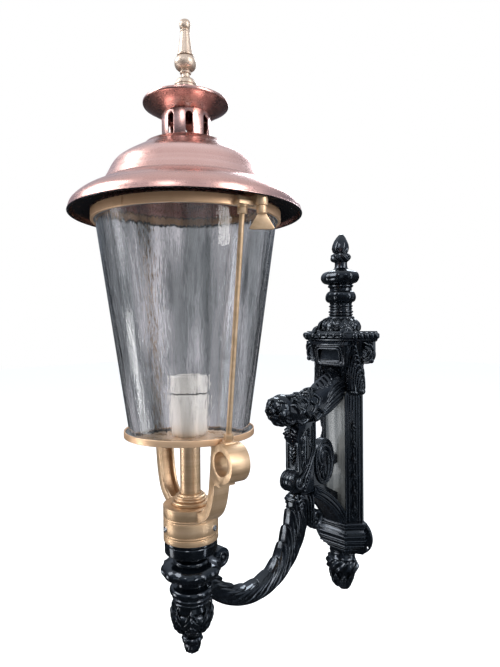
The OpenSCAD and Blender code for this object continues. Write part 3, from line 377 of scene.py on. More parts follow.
def bead(r0, r1, z0, z1, n=16):
    """Half-round moulding of a turned outline."""
    t = np.pi * np.arange(n + 1) / n
    return list(zip(r0 + (r1 - r0) * np.sin(t), z0 + (z1 - z0) * (1 - np.cos(t)) / 2))


def hollow(r0, r1, z0, z1):
    """Quarter-round sweep of a turned outline, upright at first."""
    t = np.pi / 2 * np.arange(11) / 10
    return list(zip(r0 + (r1 - r0) * (1 - np.cos(t)), z0 + (z1 - z0) * np.sin(t)))


def outline(z, *rows):
    """Turned outline: points (radius, height above z) and beads (r0, r1, low, high, and steps or none)."""
    out = []
    for a, b, *bead_rest in rows:
        if bead_rest:
            low, high, *steps = bead_rest
            out += bead(a, b, z + low, z + high, *steps)
        else:
            out.append((a, z + b))
    return out


def arc(centre, ru, rv, start, end, count):
    """Points (u, v) on part of an ellipse."""
    angles = np.radians(np.linspace(start, end, count))
    return [(centre[0] + ru * cos(a), centre[1] + rv * sin(a)) for a in angles]


def at_x(x, points):
    """Points (y, z) set in the plane at x."""
    return [(x, y, z) for y, z in points]


def skin(rings, caps=True):
    """Vertices and faces of a closed skin over rings with the same number of points."""
    rings = np.asarray(rings, float)
    n, k = rings.shape[:2]
    index = np.arange(n * k).reshape(n, k)
    turn = np.roll(index, -1, 1)
    faces = np.stack([index[:-1], turn[:-1], turn[1:], index[1:]], -1).reshape(-1, 4).tolist()
    if caps:
        faces += [index[0][::-1].tolist(), index[-1].tolist()]
    return rings.reshape(-1, 3), faces


def join(parts):
    verts, faces, start = [], [], 0
    for v, f in parts:
        verts.append(np.asarray(v, float))
        faces += [[i + start for i in q] for q in f]
        start += len(v)
    return np.vstack(verts), faces


def moved(part, matrix):
    m = np.array(matrix)
    return np.asarray(part[0]) @ m[:3, :3].T + m[:3, 3], part[1]


def both_sides(parts):
    """Parts and their mirror images across x = 0."""
    return parts + [(np.asarray(verts) * (-1, 1, 1), [q[::-1] for q in faces]) for verts, faces in parts]


def unit(v):
    return v / np.maximum(np.linalg.norm(v, axis=-1, keepdims=True), 1e-9)


def rope(path, radii, k, count, flat=1.0, up=(1, 0, 0)):
    """Rounded strip along a path; radii taper along it, and flat sets its height across up."""
    radii = np.broadcast_to(np.asarray(radii, float), (len(path),))
    run = along(np.column_stack([path, radii]), count)
    tangent = unit(np.gradient(run[:, :3], axis=0))
    up = unit(np.array(up, float))
    side = unit(np.cross(tangent, up))
    rise = np.cross(side, tangent)
    a = 2 * np.pi * np.arange(k) / k
    r = run[:, 3][:, None, None]
    section = np.cos(a)[None, :, None] * side[:, None] + flat * np.sin(a)[None, :, None] * rise[:, None]
    return skin(run[:, None, :3] + r * section)


SPIRAL_POINTS, SPIRAL_EYE = 60, 3


def spiral(centre, radius, turns, start, still, thick, thin, k, count, axis=0, way=-1):
    """Tapering rope wound up to its eye, at still along the x or y axis."""
    t = np.linspace(0, 1, SPIRAL_POINTS)
    a = np.radians(start) + way * 2 * np.pi * turns * t
    r = radius + (SPIRAL_EYE - radius) * t ** 0.8
    path = np.stack([centre[0] + r * np.cos(a), centre[1] + r * np.sin(a)], 1)
    up = ((1, 0, 0), (0, -1, 0))[axis]
    return rope(np.insert(path, axis, still, 1), np.linspace(thick, thin, SPIRAL_POINTS), k, count, up=up)


# Relief of a leaf, and how far its edges lean forward
MIDRIB, SWELLING, FINE_VEINS, EDGE_LEAN = 0.35, 0.45, 0.18, 0.9


def leaf(path, ups, width, depth, lobes=5, cut=0.4, wrap=0.0, sink=2.0, peak=0.55, across=20, rows=9):
    """Acanthus leaf laid on a carrier; ups point out of it, and wrap is the radius of a round one."""
    count = lobes * rows + 1
    run = along(np.column_stack([path, np.broadcast_to(np.asarray(ups, float), (len(path), 3))]), count)
    point, up = run[:, :3], run[:, 3:]
    tangent = unit(np.gradient(point, axis=0))
    side = unit(np.cross(tangent, up))
    up = unit(np.cross(side, tangent))
    length = np.linalg.norm(np.diff(point, axis=0), axis=1).sum()
    t = np.linspace(0, 1, count)[:, None]
    s = np.linspace(-1, 1, across + 1)[None, :]
    power = log(0.5) / log(peak)
    envelope = np.sin(np.pi * np.clip(t, 0, 1) ** power) ** 0.65
    swell = np.abs(np.sin(np.pi * t * lobes)) ** 0.7
    reach = width * (0.03 + envelope) * (1 - cut + cut * swell)
    out = s * reach
    if wrap:
        a = out / wrap
        out, fall = wrap * np.sin(a), wrap * (1 - np.cos(a))
    else:
        fall = 0 * out
    edge = np.abs(s)
    crown = (1 - edge ** 2.2) * (0.5 + SWELLING * (swell - 0.5) * (0.4 + edge))
    crown = crown + MIDRIB * np.exp(-(s / 0.13) ** 2)
    veins = FINE_VEINS * np.abs(np.sin(3 * np.pi * edge + 1.2)) * swell * (1 - edge)
    height = depth * (0.25 + 0.75 * envelope) * (crown + veins) - fall
    forward = EDGE_LEAN * edge ** 1.3 * length / lobes * (1 - 0.5 * t)
    top = point[:, None] + side[:, None] * out[..., None] + up[:, None] * height[..., None]
    top = top + tangent[:, None] * forward[..., None]
    base = [(top[:, j] - up * (height[:, j] + fall[:, j] + sink)[:, None]
             - side * (s[0, j] * 0.1 * reach[:, 0])[:, None])[:, None] for j in (-1, 0)]
    return skin(np.concatenate([top] + base, 1))


def blob(centre, radii, turn=(0, 0, 0), k=20, n=12):
    """Ellipsoid."""
    a = 2 * np.pi * np.arange(k) / k
    b = (np.pi * (np.arange(n) + 0.5) / n)[:, None]
    rings = np.stack([np.sin(b) * np.cos(a), np.sin(b) * np.sin(a), np.cos(b) + 0 * a], -1) * radii
    matrix = np.eye(3)
    for angle, axis in zip(turn, "XYZ"):
        matrix = np.array(Matrix.Rotation(radians(angle), 3, axis)) @ matrix
    return skin(rings @ matrix.T + centre)


HARD_EDGE = radians(28)


def soften(mat, body, slot, width, *nodes):
    """Copies of CAD nodes with their hard edges rounded, which then stand for the nodes."""
    for node in nodes:
        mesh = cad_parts[node].data.copy()
        bm = bmesh.new()
        bm.from_mesh(mesh)
        bmesh.ops.remove_doubles(bm, verts=bm.verts, dist=2e-6)
        bmesh.ops.dissolve_limit(bm, angle_limit=radians(1.0), verts=bm.verts, edges=bm.edges)
        edges = [e for e in bm.edges if len(e.link_faces) == 2 and e.calc_face_angle(0) > HARD_EDGE]
        bmesh.ops.bevel(bm, geom=edges, offset=width * MM, segments=2, profile=0.5, affect="EDGES",
                        clamp_overlap=True)
        bm.to_mesh(mesh)
        bm.free()
        finish_piece(node + "_soft", mesh, mat, body, [node], 30)


def remeshed(name, parts, voxel, mat, body, slot, nodes):
    """Solid pieces melted into one casting."""
    obj = new_object(name + "_raw", new_mesh(name + "_raw", *join(parts)))
    melt = obj.modifiers.new("melt", "REMESH")
    melt.mode = "VOXEL"
    melt.voxel_size = voxel * MM
    ease = obj.modifiers.new("ease", "SMOOTH")
    ease.factor = 0.5
    ease.iterations = 1
    done = bpy.data.meshes.new_from_object(obj.evaluated_get(bpy.context.evaluated_depsgraph_get()))
    bpy.data.objects.remove(obj)
    finish_piece(name, done, mat, body, nodes, 180)


def carry(mat, *names):
    """CAD nodes shown as they are, with a better material."""
    for node in names:
        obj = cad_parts[node]
        if not obj.material_slots:
            obj.data.materials.append(mat)
        for s in obj.material_slots:
            s.material = mat


# Lantern

def roof_shell():
    waist, crown, brim = (137.7, 426), (72, 492), (190, 381)
    over = spline([(0, 1), (0.3, 0.83), (0.58, 0.65), (0.72, 0.51), (0.86, 0.25), (1, 0)], 8)
    rim = spline([(0, 1), (0.31, 0.84), (0.64, 0.62), (0.9, 0.34), (0.985, 0.07)], 8)
    outer = [(50, 503), (60, 500.6), (69, 496.6)]
    outer += [(crown[0] + (waist[0] - crown[0]) * u, waist[1] + (crown[1] - waist[1]) * v) for u, v in over]
    outer += [(138.4, 427.2), (139.8, 426.6)]
    outer += [(waist[0] + (brim[0] - waist[0]) * u, brim[1] + (waist[1] - brim[1]) * v) for u, v in rim[2:]]
    under = [(r - 1.2, z - 2.6) for r, z in outer if r < 187]
    rolled_edge = arc((188.1, 382.9), 1.8, 1.8, 40, -200, 12)
    lathe("roof_shell", outer + rolled_edge + under[::-1], SHELL_COPPER, ROOF, "copper", ["roof_dome"],
          segs=192, radius=0, sharp=50)
    foot = bead(40.2, 43.2, 501.5, 506.5, 8)
    lathe("chimney_foot_bead", foot + [(39, 506.5), (39, 501.5)], *ROOF_COPPER, radius=0)


def chimney_top():
    outer = spline([(40, 548), (48, 551.6), (58, 557), (68.6, 563.6)], 5).tolist()
    top = spline([(69.6, 568.8), (60, 571.6), (45, 578), (31, 585.2), (19, 591)], 6).tolist()
    inner = [(19, 593), (4.6, 593), (4.6, 589), (17, 588.6), (45, 576.6), (65.5, 566), (40, 550.5), (38, 548)]
    rim = bead(69.6, 70.5, 563.9, 568.6, 8)
    lathe("chimney_hood", outer + rim + top + inner, *ROOF_COPPER, ["chimney_cap"], radius=0.4, sharp=50)
    z = 593
    profile = outline(z, (4.4, 0), (19, 0), (19, 3), (17.6, 4), (18.6, 5), (18.6, 7.4))
    profile += hollow(16.6, 7.1, z + 8.4, z + 17)
    profile += outline(
        z, (7.1, 9.4, 24, 29, 8), (9, 18.4, 31, 53), (13.6, 53.6), (13.6, 55.6), (12.2, 57), (10.4, 72),
        (7.5, 93), (8.2, 94), (8.2, 95.6), (5, 97))
    profile += bead(5, 9.5, z + 97.5, z + 112.9, 14)[1:-1] + outline(z, (0, 113), (0, 16), (4.4, 16))
    lathe("ball_finial", profile, PALE_BRASS, ROOF, "brass", ["roof_finial"], radius=0.5, segs=96)


def lantern_body():
    pane = lathe("glass_body", [(94, 25), (98, 25), (148, 375), (144, 375)], GLASS, ROOT, "glass", ["glass"],
                 radius=1.2, segs=192)
    pane.visible_shadow = False
    gallery = [(84, 22.5), (107.3, 22.5), (107.3, 32.5), (104.8, 32.5), (104.8, 25), (84, 25)]
    lathe("lower_rim", gallery, *RIMS, ["gallery_ring"], radius=0.9)
    ring = [(149.8, 371), (154.8, 371), (154.8, 386), (149.8, 386)]
    lathe("upper_rim", ring, *RIMS, ["upper_ring"], radius=0.9)
    lap = [(154.5, 371.6), (155.5, 371.6), (155.5, 385.4), (154.5, 385.4)]
    lathe("rim_lap", lap, *RIMS, turn=(-72, -65), segs=8, radius=0.3)
    skirt = [(5, 27), (21.5, 27)]
    skirt += spline([(22.5, 27.4), (27, 31), (30.2, 37), (32.0, 46), (32.5, 56)], 4).tolist()
    skirt += [(32.5, 94.0), (29.4, 95.3), (21.3, 95.3), (21.3, 55.6), (5, 55.6)]
    lathe("holder_skirt", skirt, *PORCELAIN, ["holder_base"], radius=0.5)
    joint = [(21.6, 95.25), (31.2, 95.25), (31.2, 95.95), (21.6, 95.95)]
    lathe("holder_joint", joint, SEALING, ROOT, "porcelain", radius=0.1)
    crown = [(21.3, 95.9), (29.4, 95.9), (32.5, 97.2), (32.5, 122), (31, 125), (22.6, 125), (21.3, 123.6)]
    lathe("holder_crown", crown, *PORCELAIN, ["holder_body"], radius=1.0)
    foot = outline(
        0, (17, -94), (30, -94), (31, -92.8), (31, -89.4), (29.6, -88), (25.2, -87.6),
        (24.6, 26.6, -87, -83.4, 8), (24, -82.8), (23.4, 25.2, -82.4, -79.2, 8), (22, -78.6), (20.4, -76),
        (17, -76))
    lathe("tube_mouldings", foot, *LAMP_BRASS, ["tube_foot"], radius=0.3, segs=96)
    carry(BRASS, "centre_tube", "holder_plate", "screw_shell", "centre_contact", "tie_rods")
    carry(STEEL, "spigot", "holder_screws", "hinge_pin", "cap_stud")
    carry(SEALING, "lower_gasket", "upper_gasket")
    carry(SHELL_COPPER, "roof_seat")
    soften(*LAMP_BRASS, 0.9, "frog")
    soften(*LAMP_BRASS, 0.6, "tube_lock_nut", "rod_nuts_lower", "rod_nuts_upper")
    soften(*LAMP_BRASS, 0.7, "latch_bracket", "hinge_bracket")
    soften(*ROOF_BRASS, 0.5, "roof_hinge_leaf", "roof_tab", "roof_rivets")
    soften(*LAMP_STEEL, 0.4, "grub_screws", "ear_bolts")
    soften(*ROOF_COPPER, 0.5, "chimney")
    soften(*LATCH_BRASS, 0.7, "thumb_screw")


roof_shell()
chimney_top()
lantern_body()


# Wall column

SHAFT_LOW, SHAFT_TOP, SLAB_TOP, PLINTH_LOW = -236, 164, 187, -311
PLINTH_W, PLINTH_D, PLINTH_C = 35, 45, 30
OUT, RISING = (0, -1, 0), (0, 0, 1)
CORBEL_EYE = (70, 137)
CARVED = {"segs": 160, "radius": 0.5, "sharp": 50}
FRONT_HALF = (180, 360)


def black(name, parts, nodes=(), place=HERE):
    piece(name, *join(parts), *IRONWORK, nodes, place, 50)


def turned_leaf(angle, z, line, ups, *sizes, **kinds):
    """Leaf on a turned carrier; line holds (radius, height above z), and ups (outward, upward)."""
    way = np.array([cos(angle), sin(angle), 0])
    path = [way * r + (0, 0, z + h) for r, h in line]
    return leaf(path, [way * a + (0, 0, b) for a, b in ups], *sizes, **kinds)


def wave(degrees):
    return np.sin(np.radians(degrees))


def top_finial():
    z = SLAB_TOP
    profile = outline(z, (0, 0), (46, 0), (49, 4), (49.5, 11), (46, 19), (38, 26))
    profile += hollow(34, 27.5, z + 28, z + 34)
    profile += outline(
        z, (27, 29.6, 35, 39.5, 8), (27, 30.5, 41, 46, 8), (26.6, 28.6, 49, 52, 8), (26.6, 29.4, 54, 58.5, 8),
        (27, 62), (29, 37.6, 65, 90), (27.4, 91), (27, 96), (28, 31.4, 98.5, 104.5, 8), (33, 45.2, 107, 135),
        (29, 136.5), (20, 139), (16.5, 143), (15.4, 148), (15.2, 155), (17, 24.4, 157, 176), (16, 177),
        (18.6, 180), (20.4, 187), (19.4, 195), (16, 204), (11, 212.5), (5.5, 219), (0, 222))

    def carve(a, r, z):
        h = z - SLAB_TOP
        q = np.where(h < 27, r * (1 + 0.05 * np.abs(wave(a * 5 + 20)) ** 0.6), r)
        scallop = 1 - 0.05 * wave(a * 5 + 3 * h) * wave(a * 3 - 5 * h + 40)
        q = np.where((h > 65) & (h < 90), r * scallop, q)
        basket = 1 - 0.045 * wave(a * 6 + 2 * h) * wave(a * 3.5 - 4 * h)
        q = np.where((h > 107) & (h < 135), r * basket, q)
        q = np.where((h > 157) & (h < 176), r * (1 + 0.055 * wave(a * 9 + h * 20)), q)
        return np.where(h > 177, r * (1 + 0.085 * wave(a * 4 + h * 17) * wave(a * 3 - h * 24)), q)

    lathe("top_spire", profile, *IRONWORK, ["top_finial"], HERE, turn=FRONT_HALF, carve=carve, **CARVED)
    line = [(30, 30), (41, 25), (49.5, 17), (54, 10), (60, 6), (65, 2), (66.5, -6), (65.5, -18), (63, -30)]
    ups = [(0.3, 1), (0.7, 0.8), (1, 0.4), (1, 0.5), (0.5, 1), (0.8, 0.8), (1, 0.1), (1, -0.2), (1, -0.3)]
    leaves = [turned_leaf(radians(angle), z, line, ups, 15, 4.5, 5, 0.35, wrap=40, peak=0.5)
              for angle in (228, 312)]
    line = [(31, 30), (40, 25.5), (47, 19), (49.6, 10), (50, 1.5)]
    ups = [(0.3, 1), (0.6, 0.8), (1, 0.5), (1, 0.1), (1, 0)]
    leaves += [turned_leaf(radians(angle), z, line, ups, 8.5, 2.6, 4, 0.3, wrap=45, peak=0.6, across=14)
               for angle in (196, 212, 246, 262, 278, 294, 328, 344)]
    scallops = [blob((50 + u * 0.7071, -60 + u * 0.7071, z - 12 + 0.04 * u), (r, r, r * 1.25), k=16, n=10)
                for u, r in ((20, 7.2), (33, 6.8), (45, 6.2), (56, 5.6), (65, 5.0))]
    black("slab_leaves", leaves)
    eggs = [blob((-38 + 19 * i, -59.5, z - 9), (7.5, 3.2, 5.2), k=16, n=10) for i in range(5)]
    low = [rope([(-44, -55.5, SHAFT_TOP - 2), (44, -55.5, SHAFT_TOP - 2)], 2.0, 8, 40, up=OUT)]
    black("slab_beads", both_sides(scallops) + eggs + low)
    soften(*IRONWORK, 1.2, "capital")


def bottom_finial():
    z = PLINTH_LOW
    profile = outline(
        z, (0, -91), (6, -90), (12, -86.5), (16, -82.5), (22.5, -74), (27, -61), (30, -52), (32.5, -47),
        (33, 42, -46, -16), (31, -13), (30.5, -9), (29.5, 32.5, -7, -2, 8), (30, 0), (0, 0))

    def carve(a, r, z):
        h = z - PLINTH_LOW
        gadroon = 1 - 0.10 * np.abs(np.cos(np.radians(a * 6 - h * 9))) ** 1.5
        scales = 1 + 0.085 * wave(a * 5 + 90 * np.floor(-h / 12.0)) * np.abs(wave(h * 15))
        q = np.where((h < -16) & (h > -46), r * gadroon, r)
        return np.where(h < -47, r * scales, q)

    lathe("bottom_bud", profile, *IRONWORK, ["bottom_finial"], HERE, turn=FRONT_HALF, carve=carve, **CARVED)
    leaves = []
    for row, (top, low, far, wide) in enumerate(((-48, -72, 31, 12), (-62, -86, 25.5, 10))):
        line = [(far - 1, top), (far, (2 * top + low) / 3), (far - 4, (top + 2 * low) / 3), (far - 8, low)]
        for angle in (207 + 14 * row, 236, 270 + 18 * row, 304, 333 - 6 * row):
            leaves.append(turned_leaf(
                radians(angle), z, line, [(1, -0.2)] * 4, wide, 4.5, 3, 0.3, wrap=26, peak=0.45))
    black("bottom_leaves", leaves)


def corbels():
    """Leaf with combed strands that hangs on each chamfer, and the scroll beside it."""
    depth_at = [(46, 17), (57, 20), (80, 18), (114, 17.6), (143, 23), (160, 27)]
    width_at = [(46, 16), (57, 21), (80, 21), (114, 18), (143, 18.5), (160, 19)]

    def on_leaf(u, v, lift=0.6):
        w, d = np.interp(v, *zip(*width_at)) + lift, np.interp(v, *zip(*depth_at)) + lift
        return 5 + w * u, 1.5 - d * sqrt(max(0.0, 1 - u * u)), v

    strands = []
    for i in range(9):
        top, left = 157 - 11 * i, -0.96 + 0.175 * i
        right = min(0.97, left + 1.0)
        line = [(left, 50), (left, 0.5 * (50 + top) - 6), (left + 0.03, top - 24), (left + 0.16, top - 8),
                (0.55 * left + 0.45 * right, top), (0.2 * left + 0.8 * right, top - 5), (right, top - 18)]
        line = [on_leaf(u, v) for u, v in line]
        strands.append(rope(line, [1.0, 1.7, 2.1, 2.5, 2.8, 2.8, 1.6], 8, 80, up=OUT))
    for top in (150, 130, 110, 90):
        line = [on_leaf(0.62, top), on_leaf(0.80, top - 6), on_leaf(0.97, top - 18)]
        strands.append(rope(line, [1.2, 2.4, 1.4], 8, 30, up=OUT))
    strands += [blob(on_leaf(0.62, 55, -2), (9, 8, 8)), blob(on_leaf(-0.3, 52, -3), (10, 7, 6))]
    scrolls = []
    for y in (-8.5, -13.5):
        rim = [(x, y, z) for x, z in arc(CORBEL_EYE, 20, 20, 75, -200, 24)]
        scrolls.append(rope(rim, 1.9, 8, 60, up=(0, 1, 0)))
    crest = [(49, -12, 160), (60, -17, 163), (74, -18, 162), (86, -17, 155), (91, -14, 143)]
    scrolls += [spiral(CORBEL_EYE, 18, 1.9, 80, -16.5, 3.4, 2.2, 8, 110, axis=1),
                blob((70, -17, 137), (5.5, 5, 5.5)), rope(crest, [2, 3.6, 4, 3.6, 1.6], 8, 60, up=OUT),
                blob((84, -14, 123), (6, 5, 6))]
    black("corbel_strands", both_sides([moved(join(strands), RIGHT_CHAMFER)]))
    black("corbel_scrolls", both_sides(scrolls))
    carry(ENAMEL, "scroll_corbels")


def console():
    """Cartouche border, foot leaf and side fronds of the bracket block."""
    soften(*IRONWORK, 1.0, "console")
    lean = radians(10.4)
    centre = np.array([0, -52.6, 134])
    border = []
    for grow, proud, r in ((0, 0.5, 2.2), (5, 0.2, 1.2)):
        w, h = 29 + grow, 15 + grow
        pts = rounded([(-w, -h), (w, -h), (w, h), (-w, h)], 9, 6)
        loop = [centre + (u, -v * sin(lean) - proud, v * cos(lean)) for u, v in pts]
        border.append(rope(loop + [loop[0]], r, 8, 160, up=OUT))
    foot = at_x(0, [(-45.5, 108), (-42.5, 98), (-37.5, 88), (-32.5, 76)])
    border.append(leaf(foot, OUT, 20, 5, 4, peak=0.35))
    front = [(46.5, -49, 158), (44.5, -46, 140), (39.5, -41, 122), (35.5, -38, 108), (27.5, -34, 90),
             (23.5, -31, 74)]
    behind = [(46.5, -41, 158), (43.5, -38, 140), (38.5, -34, 122), (33.5, -31.5, 100)]
    frond = [(46, -45, 156), (43.5, -43, 138), (37.5, -38, 118), (30.5, -35, 100), (25.5, -31, 80)]
    fronds = [rope(front, [3, 2.6, 2.6, 2.6, 2.4, 1.5], 8, 60), rope(behind, [3, 2.6, 2.4, 1.5], 8, 50),
              leaf(frond, (1, -0.3, 0.1), 10, 4, 6, 0.35)]
    black("console_border", border)
    black("console_fronds", both_sides(fronds))


def shaft():
    soften(*IRONWORK, 0.8, "wall_plate", "plinth")
    soften(PILLAR_ENAMEL, ROOT, "black_iron", 1.2, "pillar")
    edges = [rope([(x, y, 46), (x, y, -90), (x, y, SHAFT_LOW + 1)], 1.7, 8, 30, up=OUT)
             for x, y in ((27.4, -30.2), (33.2, -27), (49, -11))]
    black("shaft_beads", both_sides(edges))
    bands = []
    for down, grow, q, r in (
            (2, -1.2, 1, 1.7), (10, -2.4, 1, 1.2), (21, -0.4, 1, 1.6), (29, -0.5, 1, 1.9),
            (38.5, -0.4, 1, 1.7), (44, -0.5, 0.945, 1.4), (51.5, -0.5, 0.925, 1.7), (58, -0.5, 0.81, 1.2),
            (66.5, -0.4, 0.625, 1.5)):
        w, d, c, t = PLINTH_W * q, PLINTH_D * q, PLINTH_C * q, grow * 0.414
        right = [(w + c + grow, -5), (w + c + grow, -(d - c) - t), (w + t, -d - grow)]
        line = right + [(-x, y) for x, y in right[::-1]]
        ends = [(a[0] * m + b[0] * n, a[1] * m + b[1] * n, SHAFT_LOW - down)
                for a, b in zip(line, line[1:]) for m, n in ((0.98, 0.02), (0.02, 0.98))]
        bands.append(rope(ends, r, 8, 160, up=RISING))
    black("plinth_bands", bands)
    drops = []
    for s in (-1, 1):
        lance = [(0, -0.4, 62), (s * 4.5, -1.2, 50), (s * 6.5, -1.4, 30), (s * 6, -1.4, -60),
                 (s * 7, -1.4, -150), (s * 6, -1.2, -216), (0, -0.6, -228)]
        drops.append(rope(lance, [0.8, 1.6, 1.7, 1.5, 1.7, 1.5, 0.8], 8, 120, up=OUT))
    stem = [(0, -0.4, 50), (0, -1.6, 20), (0.8, -1.8, -40), (-0.8, -1.8, -100), (0, -1.6, -200)]
    drops.append(rope(stem, [0.8, 2.4, 2.2, 2.2, 0.8], 8, 90, up=OUT))
    for i in range(6):
        top = -4 - 36 * i
        line = at_x(0, [(-1, top), (-3, top - 10), (-3.6, top - 22), (-1.6, top - 33)])
        drops.append(leaf(line, OUT, 7, 4, 3, 0.35, peak=0.62, across=14))
        drops += [blob((s * 4.2, -2.6, top - 27), (2, 2.2, 3.4), k=12, n=8) for s in (-1, 1)]
    black("chamfer_drops", both_sides([moved(join(drops), RIGHT_CHAMFER)]), ["leaf_drops"])


top_finial()
bottom_finial()
corbels()
console()
shaft()


# Beast, strut and arm

NECK = [(0, -215, 36, 25, 27), (0, -190, 30, 24, 31), (0, -156, 25, 22, 31), (0, -120, 30, 22, 34),
        (0, -90, 39, 24, 35), (0, -60, 52, 26, 34), (0, -26, 70, 28, 34)]
FOOT_EYE = (-183, -117)
MEDALLION = (-80, -95)
VOLUTE_EYE = (-388, -204)


class Limb:
    """Curved limb in the plane x = 0, whose skin is found by a place along it and an angle round it."""

    def __init__(self, points, count=240):
        self.run = along(points, count)
        self.way = unit(np.gradient(self.run[:, :3], axis=0))
        self.t = np.linspace(0, 1, count)

    def at(self, t, angle, lift=0.0, box=1.0):
        t, a = np.broadcast_arrays(np.asarray(t, float), np.radians(angle))
        y, z, w, h = (np.interp(t, self.t, self.run[:, i]) for i in (1, 2, 3, 4))
        ty, tz = (np.interp(t, self.t, self.way[:, i]) for i in (1, 2))
        c, s = np.cos(a), np.sin(a)
        bc, bs = np.sign(c) * np.abs(c) ** box, np.sign(s) * np.abs(s) ** box
        off = h * bs + lift * s
        return np.stack([w * bc + lift * c, y - tz * off, z + ty * off], -1)

    def normal(self, t, angle):
        return unit(self.at(t, angle, 1.0) - self.at(t, angle))


def beast():
    neck = Limb(NECK)
    melt = [skin(neck.at(np.linspace(0, 1, 50)[:, None], np.arange(0, 360, 10)[None]))]
    melt += [blob((0, -216, 37), (25, 25, 27), k=28, n=18), blob((0, -236, 43), (16, 18, 17), k=24, n=16),
             blob((0, -248, 39), (9.5, 9, 9)), blob((0, -255, 41), (6, 4, 4.5)),
             blob((0, -236, 19), (12, 17, 8), (-16, 0, 0)), blob((0, -214, 10), (17, 18, 10))]
    half = [blob((15, -226, 29), (10, 16, 11), (20, 0, 0)), blob((6, -248, 34), (6, 8, 6)),
            blob((13.5, -238, 45.0), (3.4, 3.2, 3.2))]
    brow = [(6, -245, 49), (12, -240, 51.5), (18, -232, 52), (22.5, -222, 48)]
    lip = [(6, -251, 28), (13, -242, 25), (20, -228, 21), (24, -212, 17)]
    ear = [(17, -204, 53), (22, -198, 54), (25, -190, 49), (25, -184, 41)]
    cheek = [(24, -214, 44), (27, -203, 42), (27, -194, 34), (24, -188, 24)]
    half += [rope(brow, [0.8, 2.2, 2.4, 0.8], 10, 50), rope(lip, [1.2, 1.8, 2.2, 1.2], 8, 40),
             rope(ear, [2, 4.4, 4, 1.2], 10, 40, 0.6, up=(1, 0, 0.6)),
             rope(cheek, [1.6, 4.2, 4.4, 1.4], 10, 40, 0.6)]
    for i, (x, z) in enumerate(((4, 9), (11, 10), (18, 13))):
        beard = [(x, -240 + 7 * i, z + 5), (x + 1, -230 + 7 * i, z - 3), (x + 1.5, -216 + 6 * i, z - 7),
                 (x, -202 + 5 * i, z - 3)]
        half.append(rope(beard, [2, 3.2, 2.8, 1.0], 8, 34))
    weave, rise = np.array([0, 10, 13, 2, -12, -20]), np.array([0.2, 0.8, 1, 1, 0.8, 0.2])
    for row, (start, reach, lift) in enumerate(((0.17, 0.18, 3.2), (0.28, 0.18, 3.0), (0.39, 0.17, 2.4))):
        for i in range(6):
            angle = -38 + 26 * i + (11 if row % 2 else 0)
            angle = angle + weave * (1 if (i + row) % 2 else -0.8)
            lock = neck.at(start + reach * np.linspace(0, 1, 6), angle, rise * lift)
            half.append(rope(lock, [1.2, 3.8, 4.8, 4.2, 3.0, 0.8], 8, 40, 0.8))
    bend = 14 * np.sin(np.pi * np.linspace(0, 1, 7))
    for i, start in enumerate((0.40, 0.40, 0.43, 0.50, 0.56, 0.62, 0.66)):
        rib = neck.at(np.linspace(start, 1, 7), 16 * i - 84 + bend, 2.0)
        half.append(rope(rib, [0.9, 2.3, 2.8, 2.8, 2.8, 2.8, 2.8], 8, 80))
    melt += both_sides(half)
    t = np.linspace(0.98, 0.60, 5)
    melt.append(leaf(neck.at(t, 90), neck.normal(t, 90), 22, 5, 5, wrap=30, peak=0.4, sink=6))
    remeshed("beast_head_and_neck", melt, 1.1, *IRONWORK, ["beast_neck"])


